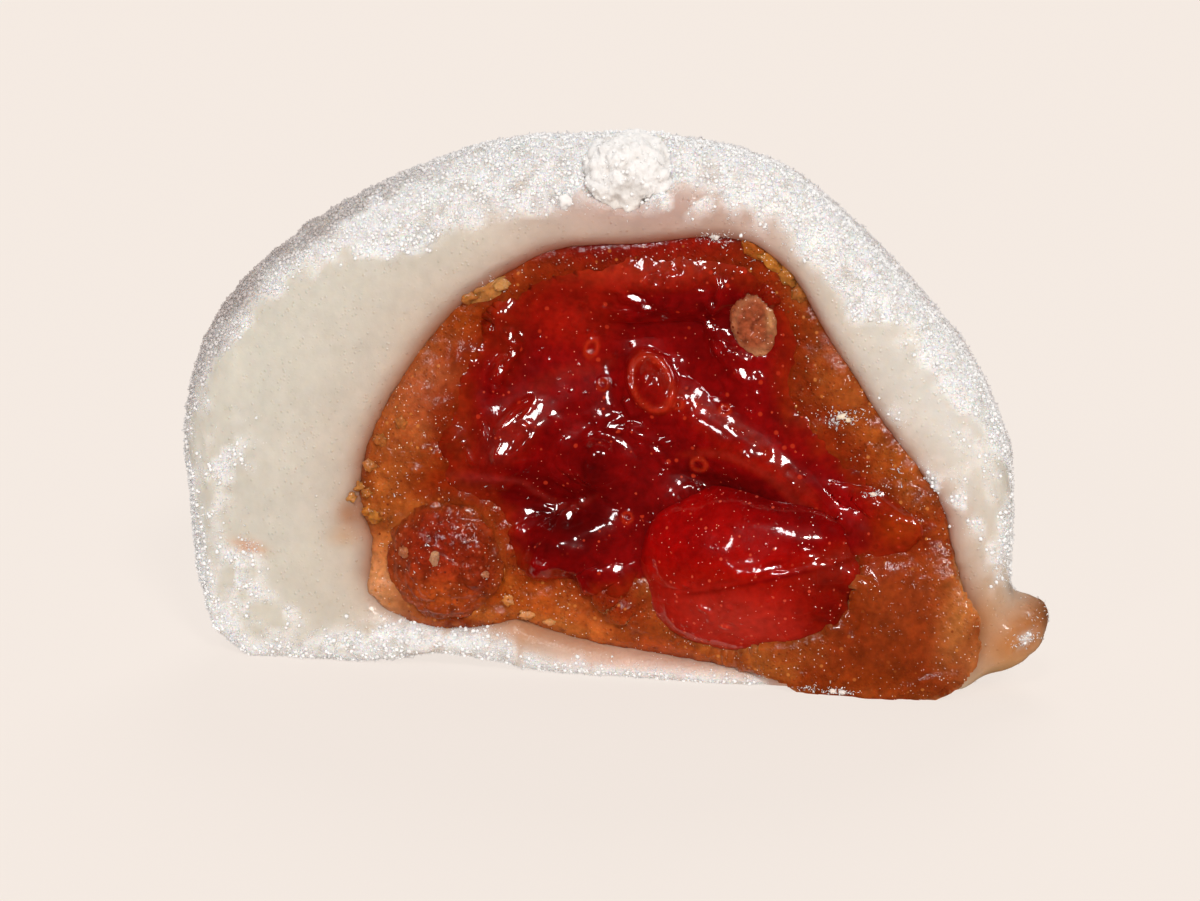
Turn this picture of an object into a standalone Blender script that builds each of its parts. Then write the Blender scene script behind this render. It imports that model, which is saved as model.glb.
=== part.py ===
"""Half of a filled mochi rice cake, cut upright through the middle and standing on its flat base.

The cut faces -Y. The origin lies on the flat base behind the cut, +X runs to the right along the cut and
+Z is up. All sizes are in millimetres and turned to metres where a mesh is made. Every large body is a UV
sphere laid again along a run of stations: from its back pole, round its wall, to its front.
"""

import math

import bmesh
import bpy
from mathutils import Matrix, Vector, noise

MM = 0.001
QUARTER = math.pi / 2

# Driving dimensions of the whole cake.
CUT_Y = -11.0  # the knife's plane
BACK_Y = 15.5  # the back of the dome
EQUATOR_Z = 11.5  # height at which the dome is widest
GAP = 0.3  # clearance between two bodies that touch

# The skin's outline in the cut, as (x, z) points read anticlockwise from the right.
# The points under the base lie below zero, and are pressed flat on the table.
SKIN_OUTLINE = (
    (24.3, 12.0),
    (23.6, 15.9),
    (21.5, 19.9),
    (18.5, 23.3),
    (15.7, 26.3),
    (12.7, 29.2),
    (9.4, 31.3),
    (5.5, 32.3),
    (0.0, 32.5),
    (-5.7, 32.1),
    (-11.4, 30.5),
    (-16.7, 27.9),
    (-21.4, 24.6),
    (-25.0, 20.6),
    (-26.9, 15.5),
    (-27.0, 11.0),
    (-26.2, 6.0),
    (-24.7, 1.9),
    (-21.8, -0.3),
    (-12.0, -0.5),
    (0.0, -0.5),
    (12.0, -0.5),
    (19.6, -0.3),
    (23.4, 1.3),
    (24.2, 6.5),
)
SKIN_CENTRE = (0.0, 13.0)
SIDE_EDGE = 3.8  # how far the soft cut edge rounds over at the top and sides
BASE_EDGE = 0.5  # and where it is thin, along the base
EDGE_SHARE = 0.42  # the rounding never takes more than this share of the skin's thickness
FACE_SWELL = 0.55  # how far the cut skin swells forward between its edges
LIP_DROP = 0.6  # how far the skin rounds in where it meets the filling
ARCH_X = -9.5  # the base lifts off the table here, near the cut
ARCH_RISE = 0.9

# The outline of the filling where it meets the skin.
FILLING_OUTLINE = (
    (20.4, 12.0),
    (18.7, 14.1),
    (16.6, 16.9),
    (14.8, 19.6),
    (13.0, 22.4),
    (11.6, 24.8),
    (9.0, 26.8),
    (6.0, 27.1),
    (2.4, 26.6),
    (-2.4, 26.2),
    (-5.4, 24.9),
    (-8.4, 22.9),
    (-10.6, 20.6),
    (-12.3, 18.0),
    (-14.0, 15.0),
    (-15.0, 12.2),
    (-15.0, 9.8),
    (-14.3, 7.4),
    (-14.5, 5.0),
    (-13.0, 3.1),
    (-9.9, 2.4),
    (-7.0, 2.7),
    (-5.3, 3.4),
    (-3.6, 2.7),
    (0.0, 1.9),
    (5.0, 1.3),
    (11.0, 1.0),
    (17.0, 1.0),
    (20.6, 2.1),
    (21.8, 4.8),
    (21.3, 7.4),
    (20.9, 9.8),
)
FILLING_CENTRE = (3.0, 13.5)
FILLING_DEPTH = 17.5  # how far the filling runs back from the cut
SPILL_TURN = math.radians(-40.0)  # where the filling has run out over the base
SPILL_SPREAD = math.radians(17.0)
SPILL_REACH, SPILL_FACE_REACH = 1.9, 1.5  # how far its outer edge lies over the base, and its face
RIM_WIDTH = 0.4  # how far the paste's face starts inside its wall
SPILL_BACK, SPILL_FRONT = 0.45, 1.0  # how far in front of the cut the spilled paste starts, and ends
# The rounded rim of the paste, row by row: share of the way to the face, and what it becomes where it has
# spilled: share of the way from its back to its front, and share of its reach over the base.
RIM_ROWS = ((0.3, 0.0, 0.1), (0.6, 0.12, 0.85), (0.85, 0.55, 1.0))

# The outline of the red jam where it meets the bean paste.
JAM_OUTLINE = (
    (19.2, 10.8),
    (16.4, 12.4),
    (13.8, 14.6),
    (11.6, 17.5),
    (11.8, 21.0),
    (10.4, 23.8),
    (7.4, 25.4),
    (2.4, 25.2),
    (-3.0, 24.6),
    (-5.9, 22.9),
    (-7.6, 20.4),
    (-9.0, 17.3),
    (-9.6, 14.2),
    (-9.6, 11.8),
    (-6.4, 9.8),
    (-5.2, 7.2),
    (-1.8, 6.0),
    (1.2, 5.1),
    (3.6, 7.0),
    (8.0, 8.4),
    (12.5, 8.6),
    (16.0, 8.2),
    (19.0, 9.2),
)
JAM_CENTRE = (3.5, 14.0)
JAM_DEPTH = 4.8

# Swells and hollows of the open filling: (x, z, half length, half width, turn in degrees, forward rise).
FILLING_FORMS = (
    (2.0, 20.5, 9.0, 4.6, 0.0, -1.7),  # hollow under the skin's upper edge
    (3.6, 24.0, 5.0, 0.9, -4.0, 1.0),  # ridge across the top of the jam
    (7.6, 19.2, 2.2, 1.2, -35.0, 0.7),  # swell below the paste chip
    (-6.0, 14.6, 3.4, 2.4, 35.0, 0.7),  # facet on the left of the jam
    (2.6, 17.6, 1.7, 1.3, -60.0, 0.6),  # large bubble
    (-0.4, 13.0, 1.6, 1.3, 0.0, 1.0),  # knob in the middle
    (-2.2, 10.4, 2.6, 1.6, 0.0, -0.9),  # pool left of the fruit
    (-1.8, 8.2, 2.8, 1.0, 12.0, 1.1),  # fold under that pool
    (1.0, 5.6, 2.8, 0.8, -48.0, 0.9),  # run of jam down to the base
    (9.0, 13.6, 6.5, 1.1, -36.0, 0.8),  # long fold over the fruit
    (8.5, 11.2, 5.5, 1.0, -20.0, -0.7),  # groove between that fold and the fruit
    (18.2, 10.4, 2.2, 1.2, 15.0, 1.3),  # rounded end of the fold at the right
    (17.0, 3.6, 6.5, 4.5, 0.0, 1.8),  # paste that has run out
    (-11.6, 14.5, 2.0, 4.0, -25.0, 0.5),  # paste on the left
    (14.2, 18.6, 3.2, 1.6, -55.0, 0.5),  # paste on the right
)
FILLING_SINK = 0.5  # how far the filling sits behind the cut where nothing swells

# The smaller pieces: (x, depth behind the cut, z) of the centre, the three half sizes, and the turn in
# degrees in the cut's plane.
FRUIT = ((9.6, 1.5, 6.9), (7.2, 3.8, 4.7), 0.0)
LUMP = ((-9.6, 0.9, 6.8), (3.25, 2.3, 3.25), 0.0)
CHIP = ((9.0, 1.2, 21.9), (1.35, 0.7, 2.1), 12.0)
CLUMP = ((1.6, 0.6, 30.7), (2.5, 1.7, 2.1), 0.0)
TONGUE = ((24.0, 2.9, 3.4), (3.0, 2.9, 2.2), 32.0)

# The fruit piece's form, in shares of its half sizes.
FRUIT_SQUARENESS = 2.5
FRUIT_FALL = 0.12
CREASE_RISE, CREASE_SLOPE, CREASE_DEPTH, CREASE_WIDTH = 0.10, 0.42, 0.08, 0.13

# Rows of faces. More rows give a smoother solid.
AROUND = 66  # the same for skin, paste and jam, so that their walls stay apart
BACK_ROWS, EDGE_ROWS, CAVITY_ROWS = 9, 4, 6
FACE_SHARES = (0.3, 0.62, 0.9)
PASTE_SHARES = (0.0, 0.3, 0.65)
JAM_WALL_ROWS = 5
JAM_SHARES = (0.08, 0.18, 0.29, 0.4, 0.51, 0.62, 0.73, 0.86, 1.0)


def clear_scene():
    for old in list(bpy.data.objects):
        bpy.data.objects.remove(old)


def food_material(name, colour, roughness):
    """A plain Principled finish in the food's own colour. Nothing here is metal."""
    made = bpy.data.materials.new(name)
    made.use_nodes = True
    shader = made.node_tree.nodes["Principled BSDF"]
    shader.inputs["Base Color"].default_value = (*colour, 1.0)
    shader.inputs["Roughness"].default_value = roughness
    shader.inputs["Metallic"].default_value = 0.0
    made.diffuse_color = (*colour, 1.0)
    return made


def curve_point(points, index, share):
    """A point on the closed Catmull-Rom curve through the points, in the stretch after points[index]."""
    a, b, c, d = (Vector(points[(index + step) % len(points)]) for step in (-1, 0, 1, 2))
    return 0.5 * (
        2 * b
        + (c - a) * share
        + (2 * a - 5 * b + 4 * c - d) * share**2
        + (3 * b - a - 3 * c + d) * share**3
    )


def reach_by_turn(points, centre, steps=12):
    """The outline as a function that gives its reach from the centre at any turn."""
    turns = []
    for index in range(len(points)):
        for step in range(steps):
            arm = curve_point(points, index, step / steps) - Vector(centre)
            turns.append((math.atan2(arm.y, arm.x), arm.length))
    turns.sort()
    first, last = turns[0], turns[-1]
    turns = [(last[0] - math.tau, last[1]), *turns, (first[0] + math.tau, first[1])]

    def reach(turn):
        turn = math.atan2(math.sin(turn), math.cos(turn))
        for (a, low), (b, high) in zip(turns, turns[1:]):
            if a <= turn <= b:
                return low + (high - low) * (turn - a) / max(b - a, 1e-9)
        return last[1]

    return reach


def polar(centre, turn, reach):
    return centre[0] + reach * math.cos(turn), centre[1] + reach * math.sin(turn)


def smooth(value):
    value = min(max(value, 0.0), 1.0)
    return value * value * (3 - 2 * value)


def lump(point, size, rise):
    """A gentle unevenness of about this size, up to this rise."""
    return rise * noise.noise(Vector(point) / size)


skin_reach = reach_by_turn(SKIN_OUTLINE, SKIN_CENTRE)
filling_reach = reach_by_turn(FILLING_OUTLINE, FILLING_CENTRE)
jam_reach = reach_by_turn(JAM_OUTLINE, JAM_CENTRE)


def edge_radius(turn):
    """How far the cut edge rounds over: wide at the top and sides, tight along the base."""
    x, z = polar(SKIN_CENTRE, turn, skin_reach(turn))
    inner_x, inner_z = polar(FILLING_CENTRE, turn, filling_reach(turn))
    wanted = BASE_EDGE + (SIDE_EDGE - BASE_EDGE) * smooth((z - 0.5) / 9.0)
    return min(wanted, EDGE_SHARE * math.hypot(x - inner_x, z - inner_z))


def arch(x, y, z):
    """Lifts the base by the cut, where the skin has sprung off the table."""
    near = math.exp(-(((x - ARCH_X) / 4.2) ** 2))
    return ARCH_RISE * near * smooth(1 - (y - CUT_Y) / 7.0) * smooth(1 - z / 4.0)


def on_table(x, y, z):
    """The point in its final place: lifted by the arch and never below the table."""
    return Vector((x, y, max(z, 0.0) + arch(x, y, z)))


def back_place(rise, turn):
    """The dome's outside. rise is 90 degrees at the back pole and 0 where the cut edge starts to round."""
    x, z = polar(SKIN_CENTRE, turn, skin_reach(turn))
    edge_y = CUT_Y + edge_radius(turn)
    y = edge_y + (BACK_Y - edge_y) * math.sin(rise)
    shrink = math.cos(rise)
    low_shrink = max(1 - math.sin(rise) ** 5, 0.0) ** 0.2
    z = EQUATOR_Z + (z - EQUATOR_Z) * (shrink if z > EQUATOR_Z else low_shrink)
    uneven = 1 + lump((x, y, z), 9.0, 0.02) * math.cos(rise)
    return on_table(x * shrink * uneven, y, z if z < EQUATOR_Z else z * uneven)


def edge_place(bend, turn):
    """The soft cut edge, from the outside at 0 to the cut face at 90 degrees."""
    radius = edge_radius(turn)
    inset = radius * (1 - math.cos(bend))
    x, z = polar(SKIN_CENTRE, turn, skin_reach(turn) - inset)
    return on_table(x, CUT_Y + radius * (1 - math.sin(bend)), z)


def face_place(share, turn):
    """The cut face of the skin, from its edge at 0 to the filling at 1."""
    outer = edge_place(QUARTER, turn)
    inner_x, inner_z = polar(FILLING_CENTRE, turn, filling_reach(turn))
    width = math.hypot(outer.x - inner_x, outer.z - inner_z)
    swell = FACE_SWELL * min(width / 6.0, 1.0) * math.sin(math.pi * share)
    x = outer.x + (inner_x - outer.x) * share
    z = outer.z + (inner_z - outer.z) * share
    return Vector((x, CUT_Y - swell + lump((x, 0, z), 5.0, 0.25) * min(width / 6.0, 1.0), z))


def wall_place(rise, turn, gap, front):
    """The wall between skin and filling, from its front at rise 0. gap pulls it in for the filling's side."""
    reach = filling_reach(turn) * math.cos(rise) - gap
    x, z = polar(FILLING_CENTRE, turn, max(reach, 0.0))
    back = CUT_Y + FILLING_DEPTH - gap
    return Vector((x, front + (back - front) * math.sin(rise), z))


def skin_wall_place(rise, turn):
    return wall_place(rise, turn, 0.0, CUT_Y + LIP_DROP)


def paste_wall_place(rise, turn):
    """The paste's own wall. It starts behind the skin's lip, or at the open face where that is deeper."""
    x, z = polar(FILLING_CENTRE, turn, filling_reach(turn) - GAP)
    return wall_place(rise, turn, GAP, max(CUT_Y + LIP_DROP, open_face(x, z)) + GAP)


def jam_wall_place(rise, turn, gap):
    """The wall between paste and jam, taken to the open face at rise 0."""
    reach = jam_reach(turn) * math.cos(rise) - gap
    x, z = polar(JAM_CENTRE, turn, max(reach, 0.0))
    front = open_face(x, z)
    return Vector((x, front + (CUT_Y + JAM_DEPTH - gap - front) * math.sin(rise), z))


def jam_socket_place(rise, turn):
    return jam_wall_place(rise, turn, 0.0)


def jam_back_place(rise, turn):
    return jam_wall_place(rise, turn, GAP)


def jam_face_place(share, turn):
    """The open face of the jam, from its border at 0 to its middle at 1."""
    x, z = polar(JAM_CENTRE, turn, (jam_reach(turn) - GAP) * (1 - share))
    return Vector((x, open_face(x, z), z))


def open_face(x, z):
    """The y of the open filling at a place in the cut: sunk a little, with swells and hollows."""
    y = CUT_Y + FILLING_SINK
    for at_x, at_z, half_length, half_width, turn, rise in FILLING_FORMS:
        along = Matrix.Rotation(-math.radians(turn), 2) @ Vector((x - at_x, z - at_z))
        y -= rise * math.exp(-((along.x / half_length) ** 2) - (along.y / half_width) ** 2)
    return y


def spill(turn):
    """How far the paste has come forward over the skin's lip here, then how far out over the base, 0 to 1."""
    strength = smooth(1.6 - abs(turn - SPILL_TURN) / SPILL_SPREAD)
    return smooth(2 * strength), smooth(2 * strength - 1)


def paste_rim_place(row, turn):
    """A row of the paste's rim: a rounded corner, or a tongue over the base where it has spilled."""
    face_share, forward_share, reach_share = RIM_ROWS[row]
    forward, outward = spill(turn)
    face = paste_face_place(0.0, turn)
    corner = paste_wall_place(0.0, turn).lerp(face, face_share)
    x, z = polar(FILLING_CENTRE, turn, filling_reach(turn) - GAP + SPILL_REACH * reach_share * outward)
    back = CUT_Y - SPILL_BACK
    spilled = Vector((x, back + (face.y - back) * forward_share, max(z, 0.0)))
    return corner.lerp(spilled, forward)


def paste_face_place(share, turn):
    """The open face of the paste, from the rim at 0 to the jam at 1."""
    forward, outward = spill(turn)
    reach = filling_reach(turn) - GAP - RIM_WIDTH + SPILL_FACE_REACH * outward
    rim_x, rim_z = polar(FILLING_CENTRE, turn, reach)
    jam = jam_socket_place(0.0, turn)
    x = rim_x + (jam.x - rim_x) * share
    z = max(rim_z + (jam.z - rim_z) * share, 0.0)
    width = math.hypot(rim_x - jam.x, rim_z - jam.z)
    uneven = lump((x, 3, z), 2.2, 0.35) * min(width / 3.0, 1.0) * (1 - share)
    y = open_face(x, z) + uneven
    return Vector((x, y + (min(y, CUT_Y - SPILL_FRONT) - y) * forward * (1 - share), z))


def laid_sphere(name, places, material):
    """A closed body: a UV sphere whose ring number i lies where places[i](turn) says."""
    bm = bmesh.new()
    last = len(places) - 1
    bmesh.ops.create_uvsphere(bm, u_segments=AROUND, v_segments=last, radius=1.0)
    for vert in bm.verts:
        ring = round(math.acos(max(-1.0, min(1.0, vert.co.z))) / math.pi * last)
        turn = math.atan2(vert.co.y, vert.co.x)
        vert.co = places[ring](turn) * MM
    bm.normal_update()
    bmesh.ops.recalc_face_normals(bm, faces=bm.faces)
    return finished(name, bm, material)


def finished(name, bm, material):
    """The bmesh as a named, smooth-shaded object in the scene."""
    mesh = bpy.data.meshes.new(name)
    bm.to_mesh(mesh)
    bm.free()
    mesh.shade_smooth()
    if material:
        mesh.materials.append(material)
    made = bpy.data.objects.new(name, mesh)
    bpy.context.scene.collection.objects.link(made)
    return made


def ellipsoid(name, place, around, rows, material, form):
    """An oval body with its centre, half sizes and turn as place says. form moves its unit points."""
    (x, depth, z), half, turn = place
    bm = bmesh.new()
    bmesh.ops.create_uvsphere(bm, u_segments=around, v_segments=rows, radius=1.0)
    for vert in bm.verts:
        vert.co = form(vert.co.copy()) * Vector(half) * MM
    tilt = Matrix.Rotation(-math.radians(turn), 4, "Y")
    settle = Matrix.Translation(Vector((x, CUT_Y + depth, z)) * MM) @ tilt
    bmesh.ops.transform(bm, matrix=settle, verts=bm.verts)
    return finished(name, bm, material)


def hidden_copy(piece, name, swell):
    """A cutter: the piece grown by this much all over, kept out of the renders."""
    bm = bmesh.new()
    bm.from_mesh(piece.data)
    bm.normal_update()
    for vert in bm.verts:
        vert.co += vert.normal * swell * MM
    cutter = finished(name, bm, None)
    cutter.hide_render = True
    cutter.display_type = "WIRE"
    return cutter


def seat(host, *guests):
    """Cuts room in the host for each guest, with the usual gap round it."""
    for guest in guests:
        cut = host.modifiers.new("room_for_" + guest.name, "BOOLEAN")
        cut.operation = "DIFFERENCE"
        cut.solver = "EXACT"
        cut.object = hidden_copy(guest, f"{host.name}_room_for_{guest.name}", GAP)


def fuse(host, scrap):
    """Joins the scrap to the host as one body and hides the scrap itself."""
    join = host.modifiers.new("with_" + scrap.name, "BOOLEAN")
    join.operation = "UNION"
    join.solver = "EXACT"
    join.object = scrap
    scrap.hide_render = True
    scrap.display_type = "WIRE"


def fruit_form(point):
    """A plump squarish lobe that falls away to the right, with a shallow crease along its length."""
    flat = math.hypot(point.x, point.z)
    if flat > 0:
        power = FRUIT_SQUARENESS
        square = flat / (abs(point.x) ** power + abs(point.z) ** power) ** (1 / power)
        point.x *= square
        point.z *= square
    crease = point.z - CREASE_RISE - CREASE_SLOPE * point.x
    point *= 1 - CREASE_DEPTH * math.exp(-((crease / CREASE_WIDTH) ** 2)) * smooth(-point.y * 2)
    point.z -= FRUIT_FALL * point.x * max(point.z, 0.0)
    return point * (1 + 0.05 * noise.noise(point * 1.7))


def lump_form(point):
    """A coarse ball of paste with a grainy surface."""
    return point * (1 + 0.12 * noise.noise(point * 2.2) + 0.05 * noise.noise(point * 6.0))


def chip_form(point):
    """A flat flake with a rim: its front is pressed level."""
    point.y = max(point.y, -0.55)
    return point


def clump_form(point):
    """A knobbly ball of caked starch."""
    knobs = noise.noise(point * 2.6 + Vector((4.0, 1.0, 7.0)))
    return point * (1 + 0.16 * knobs + 0.07 * noise.noise(point * 6.5))


def tongue_form(point):
    """A drawn-out tongue: thinner towards its outer tip."""
    thin = 1 - 0.15 * max(point.x, 0.0)
    return Vector((point.x, point.y * thin, point.z * thin))


def back_rows(place, rows):
    """Stations from a back pole to where its wall meets the front, for place(rise, turn)."""
    return [lambda turn, rise=QUARTER * (1 - row / rows): place(rise, turn) for row in range(rows + 1)]


def inward_rows(place, rows):
    """Stations from the front of a wall in to its back pole, for place(rise, turn)."""
    return [lambda turn, rise=QUARTER * row / rows: place(rise, turn) for row in range(rows + 1)]


def share_rows(place, shares):
    """Stations across a face, for place(share, turn)."""
    return [lambda turn, share=share: place(share, turn) for share in shares]


def rice_skin():
    """The dough, a hollow half dome. The cut edge takes the place of the dome's last row."""
    places = back_rows(back_place, BACK_ROWS)[:-1]
    places += inward_rows(edge_place, EDGE_ROWS)
    places += share_rows(face_place, FACE_SHARES)
    places += inward_rows(skin_wall_place, CAVITY_ROWS)
    return laid_sphere("rice_skin", places, food_material("steamed_rice_dough", (0.80, 0.71, 0.60), 0.45))


def bean_paste():
    """The paste that lines the hollow and has run out over the base at the right."""
    places = back_rows(paste_wall_place, CAVITY_ROWS)
    places += share_rows(paste_rim_place, range(len(RIM_ROWS)))
    places += share_rows(paste_face_place, PASTE_SHARES)
    places += inward_rows(jam_socket_place, JAM_WALL_ROWS)
    return laid_sphere("bean_paste", places, food_material("amber_bean_paste", (0.42, 0.13, 0.04), 0.4))


def red_jam():
    """The pool of jam in the middle, as deep as its socket in the paste less the gap."""
    places = back_rows(jam_back_place, JAM_WALL_ROWS)
    places += share_rows(jam_face_place, JAM_SHARES)
    return laid_sphere("red_jam", places, food_material("dark_red_jam", (0.33, 0.01, 0.01), 0.1))


def fruit_piece():
    finish = food_material("jellied_fruit", (0.50, 0.02, 0.01), 0.12)
    return ellipsoid("fruit_piece", FRUIT, 30, 18, finish, fruit_form)


def paste_lump():
    finish = food_material("coarse_bean_paste", (0.28, 0.05, 0.02), 0.35)
    return ellipsoid("paste_lump", LUMP, 22, 14, finish, lump_form)


def paste_chip():
    finish = food_material("paste_skin_flake", (0.35, 0.11, 0.05), 0.5)
    return ellipsoid("paste_chip", CHIP, 16, 8, finish, chip_form)


def starch_clump():
    finish = food_material("caked_starch", (0.92, 0.91, 0.89), 0.9)
    return ellipsoid("starch_clump", CLUMP, 24, 14, finish, clump_form)


def skin_tongue():
    """The edge of the base that curls out at the right. It is joined to the dough."""
    return ellipsoid("skin_tongue", TONGUE, 20, 12, None, tongue_form)


def main():
    clear_scene()
    skin, paste, jam = rice_skin(), bean_paste(), red_jam()
    fruit, coarse, flake, clump = fruit_piece(), paste_lump(), paste_chip(), starch_clump()
    fuse(skin, skin_tongue())
    seat(skin, clump)
    seat(paste, fruit, coarse)
    seat(jam, fruit, coarse, flake)


main()
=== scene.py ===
"""The looks of half a filled rice cake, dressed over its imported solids, with the photograph's view and light.

Shapes are worked in millimetres and turned to metres when a piece is finished. Places on the cut are given
as (x, z), x to the right and z up from the table. The knife's plane is CUT_Y and the cut looks along -Y.
Points are worked as whole arrays, one row a point.
"""

import itertools
import math
import random

import bmesh
import bpy
import numpy as np
from mathutils import Matrix, Vector, noise
from mathutils.bvhtree import BVHTree
from mathutils.kdtree import KDTree


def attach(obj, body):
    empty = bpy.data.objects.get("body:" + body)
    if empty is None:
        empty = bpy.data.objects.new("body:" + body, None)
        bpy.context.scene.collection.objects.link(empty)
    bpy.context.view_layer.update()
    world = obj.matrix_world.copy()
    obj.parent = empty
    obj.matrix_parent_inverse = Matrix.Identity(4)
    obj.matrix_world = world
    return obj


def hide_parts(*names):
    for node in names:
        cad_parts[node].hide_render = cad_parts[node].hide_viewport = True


MM = 0.001
CUT_Y = -11.0
SEED = 20

# The photograph's viewpoint.
CAMERA_AZIMUTH, CAMERA_ELEVATION = math.radians(12.0), math.radians(12.0)
CAMERA_AIM = Vector((0.0, -0.011, 0.014))
CAMERA_DISTANCE = 0.1984
CAMERA_LENS, CAMERA_SENSOR = 100.0, 36.0

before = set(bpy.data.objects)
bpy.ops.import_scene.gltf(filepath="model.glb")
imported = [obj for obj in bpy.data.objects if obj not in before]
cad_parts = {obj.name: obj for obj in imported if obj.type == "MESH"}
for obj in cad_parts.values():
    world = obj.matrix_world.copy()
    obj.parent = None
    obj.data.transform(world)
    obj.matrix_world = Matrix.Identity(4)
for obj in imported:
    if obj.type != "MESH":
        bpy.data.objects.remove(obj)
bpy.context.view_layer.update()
chance = random.Random(SEED)
draws = np.random.default_rng(SEED)


def linear(hex_colour):
    """An sRGB hex colour as linear red, green and blue."""
    channels = (int(hex_colour[i : i + 2], 16) / 255 for i in (1, 3, 5))
    return np.array([c / 12.92 if c <= 0.04045 else ((c + 0.055) / 1.055) ** 2.4 for c in channels])


def smooth(value):
    value = np.clip(value, 0.0, 1.0)
    return value * value * (3 - 2 * value)


def ramp(value, low, high):
    """0 at low, 1 at high and smooth between. low may be the larger."""
    return smooth((value - low) / (high - low))


def scattered(cells, salt):
    """A fixed random number from 0 to 1 for every cell of a lattice."""
    x, y, z = cells.T
    mixed = (x * 73856093) ^ (y * 19349663) ^ (z * 83492791) ^ (salt * 2654435761)
    for turn in (13, 17):
        mixed = ((mixed ^ (mixed >> turn)) * 1540483477) & 0x7FFFFFFF
    return (mixed ^ (mixed >> 15)) / 0x7FFFFFFF


def waves(points, size, shift=0.0):
    """Soft unevenness of about this size in mm, -1 to 1, at every point."""
    places = (points + np.array((shift, 0.0, -shift))) / size
    cells = np.floor(places).astype(np.int64)
    share = places - cells
    share = share * share * (3 - 2 * share)
    total = np.zeros(len(points))
    for corner in itertools.product((0, 1), repeat=3):
        weight = np.where(corner, share, 1 - share).prod(axis=1)
        total += weight * (2 * scattered(cells + corner, 1) - 1)
    return total


def pebbles(points, size):
    """0 in the middle of each grain of about this size, rising to about 1 between grains."""
    places = points / size
    cells = np.floor(places).astype(np.int64)
    nearest = np.full(len(points), 9.0)
    for step in itertools.product((-1, 0, 1), repeat=3):
        cell = cells + step
        middle = cell + np.column_stack([scattered(cell, salt) for salt in (2, 3, 4)])
        nearest = np.minimum(nearest, ((places - middle) ** 2).sum(1))
    return np.sqrt(nearest)


def bell(value, width):
    """1 at 0 and fading out over this width to either side."""
    return np.exp(-((value / width) ** 2))


def in_oval(points, x, z, half_length, half_width, turn):
    """Every point's place along and across an oval turned by so many degrees, as shares of its half sizes."""
    c, s = math.cos(math.radians(turn)), math.sin(math.radians(turn))
    right, up = points[:, 0] - x, points[:, 2] - z
    return (right * c + up * s) / half_length, (up * c - right * s) / half_width


def oval(points, *place):
    """1 in the middle of an oval on the cut and fading out over it. place is what in_oval takes."""
    along, across = in_oval(points, *place)
    return np.exp(-(along**2) - across**2)


def ovals(points, rows):
    """The ovals of a table added up, each as strong as its sixth value says."""
    return sum(row[5] * oval(points, *row[:5]) for row in rows)


def ring(points, x, z, half_length, half_width, turn, width):
    """1 along the rim of an oval and fading out to either side of it."""
    out = np.hypot(*in_oval(points, x, z, half_length, half_width, turn))
    return bell((out - 1) * min(half_length, half_width), width)


def curve_through(marks, steps=6):
    """Points along the smooth curve through a few marks."""
    marks = np.array(marks)
    marks = np.vstack([2 * marks[0] - marks[1], marks, 2 * marks[-1] - marks[-2]])
    path = []
    for a, b, c, d in zip(marks, marks[1:], marks[2:], marks[3:]):
        for t in np.arange(steps) / steps:
            bend = (2 * a - 5 * b + 4 * c - d) * t**2 + (3 * b - a - 3 * c + d) * t**3
            path.append(0.5 * (2 * b + (c - a) * t + bend))
    return np.array([*path, marks[-2]])


def fold(points, marks, left, right=None, taper=0.2):
    """1 along a curve on the cut, fading out over these widths on its left and right, and at its ends."""
    right = right or left
    path = curve_through(marks)
    margin = 3 * max(left, right)
    spots = points[:, (0, 2)]
    close = np.all((spots > path.min(0) - margin) & (spots < path.max(0) + margin), axis=1)
    height = np.zeros(len(points))
    if not close.any():
        return height
    stretch = path[1:] - path[:-1]
    arm = spots[close][:, None] - path[:-1]
    share = np.clip((arm * stretch).sum(2) / (stretch**2).sum(1), 0, 1)
    gap = arm - share[:, :, None] * stretch
    far = np.hypot(gap[:, :, 0], gap[:, :, 1])
    best = far.argmin(1)
    rows = np.arange(len(best))
    side = stretch[best, 0] * gap[rows, best, 1] - stretch[best, 1] * gap[rows, best, 0]
    along = (best + share[rows, best]) / len(stretch)
    ends = smooth(np.minimum(along, 1 - along) / taper + 0.15)
    height[close] = ends * bell(far[rows, best], np.where(side > 0, left, right))
    return height


def shown(name, data):
    """A new object of this name in the scene."""
    thing = bpy.data.objects.new(name, data)
    bpy.context.scene.collection.objects.link(thing)
    return thing


def remeshed(node, voxel, rounds):
    """A copy of the node's solid laid again with even faces and eased, as a bmesh in mm."""
    copy = bmesh.new()
    copy.from_mesh(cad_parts[node].data)
    bmesh.ops.remove_doubles(copy, verts=copy.verts, dist=1e-6)
    mesh = bpy.data.meshes.new(node + "_copy")
    copy.to_mesh(mesh)
    copy.free()
    holder = shown(node + "_copy", mesh)
    remesh = holder.modifiers.new("even_faces", "REMESH")
    remesh.mode = "VOXEL"
    remesh.voxel_size = voxel * MM
    bm = bmesh.new()
    bm.from_object(holder, bpy.context.evaluated_depsgraph_get())
    bpy.data.objects.remove(holder)
    bmesh.ops.scale(bm, vec=(1 / MM,) * 3, verts=bm.verts)
    ease(bm, bm.verts, rounds)
    return bm


def ease(bm, verts, rounds):
    for _ in range(rounds):
        bmesh.ops.smooth_vert(bm, verts=verts, factor=0.5, use_axis_x=True, use_axis_y=True, use_axis_z=True)


def read(bm):
    """Every point of the bmesh and its normal, as arrays."""
    bm.normal_update()
    return np.array([v.co for v in bm.verts]), np.array([v.normal for v in bm.verts])


# The slope, in mm a mm to the right and up, that mirrors the lamp toward the viewer.
LEAN = (0.352, 0.444)
LEAN_LEAST = 3.0  # fewer points than this can't carry a glint
LEAN_MOST = 0.25  # how far a glint may move the surface, in mm


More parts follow.
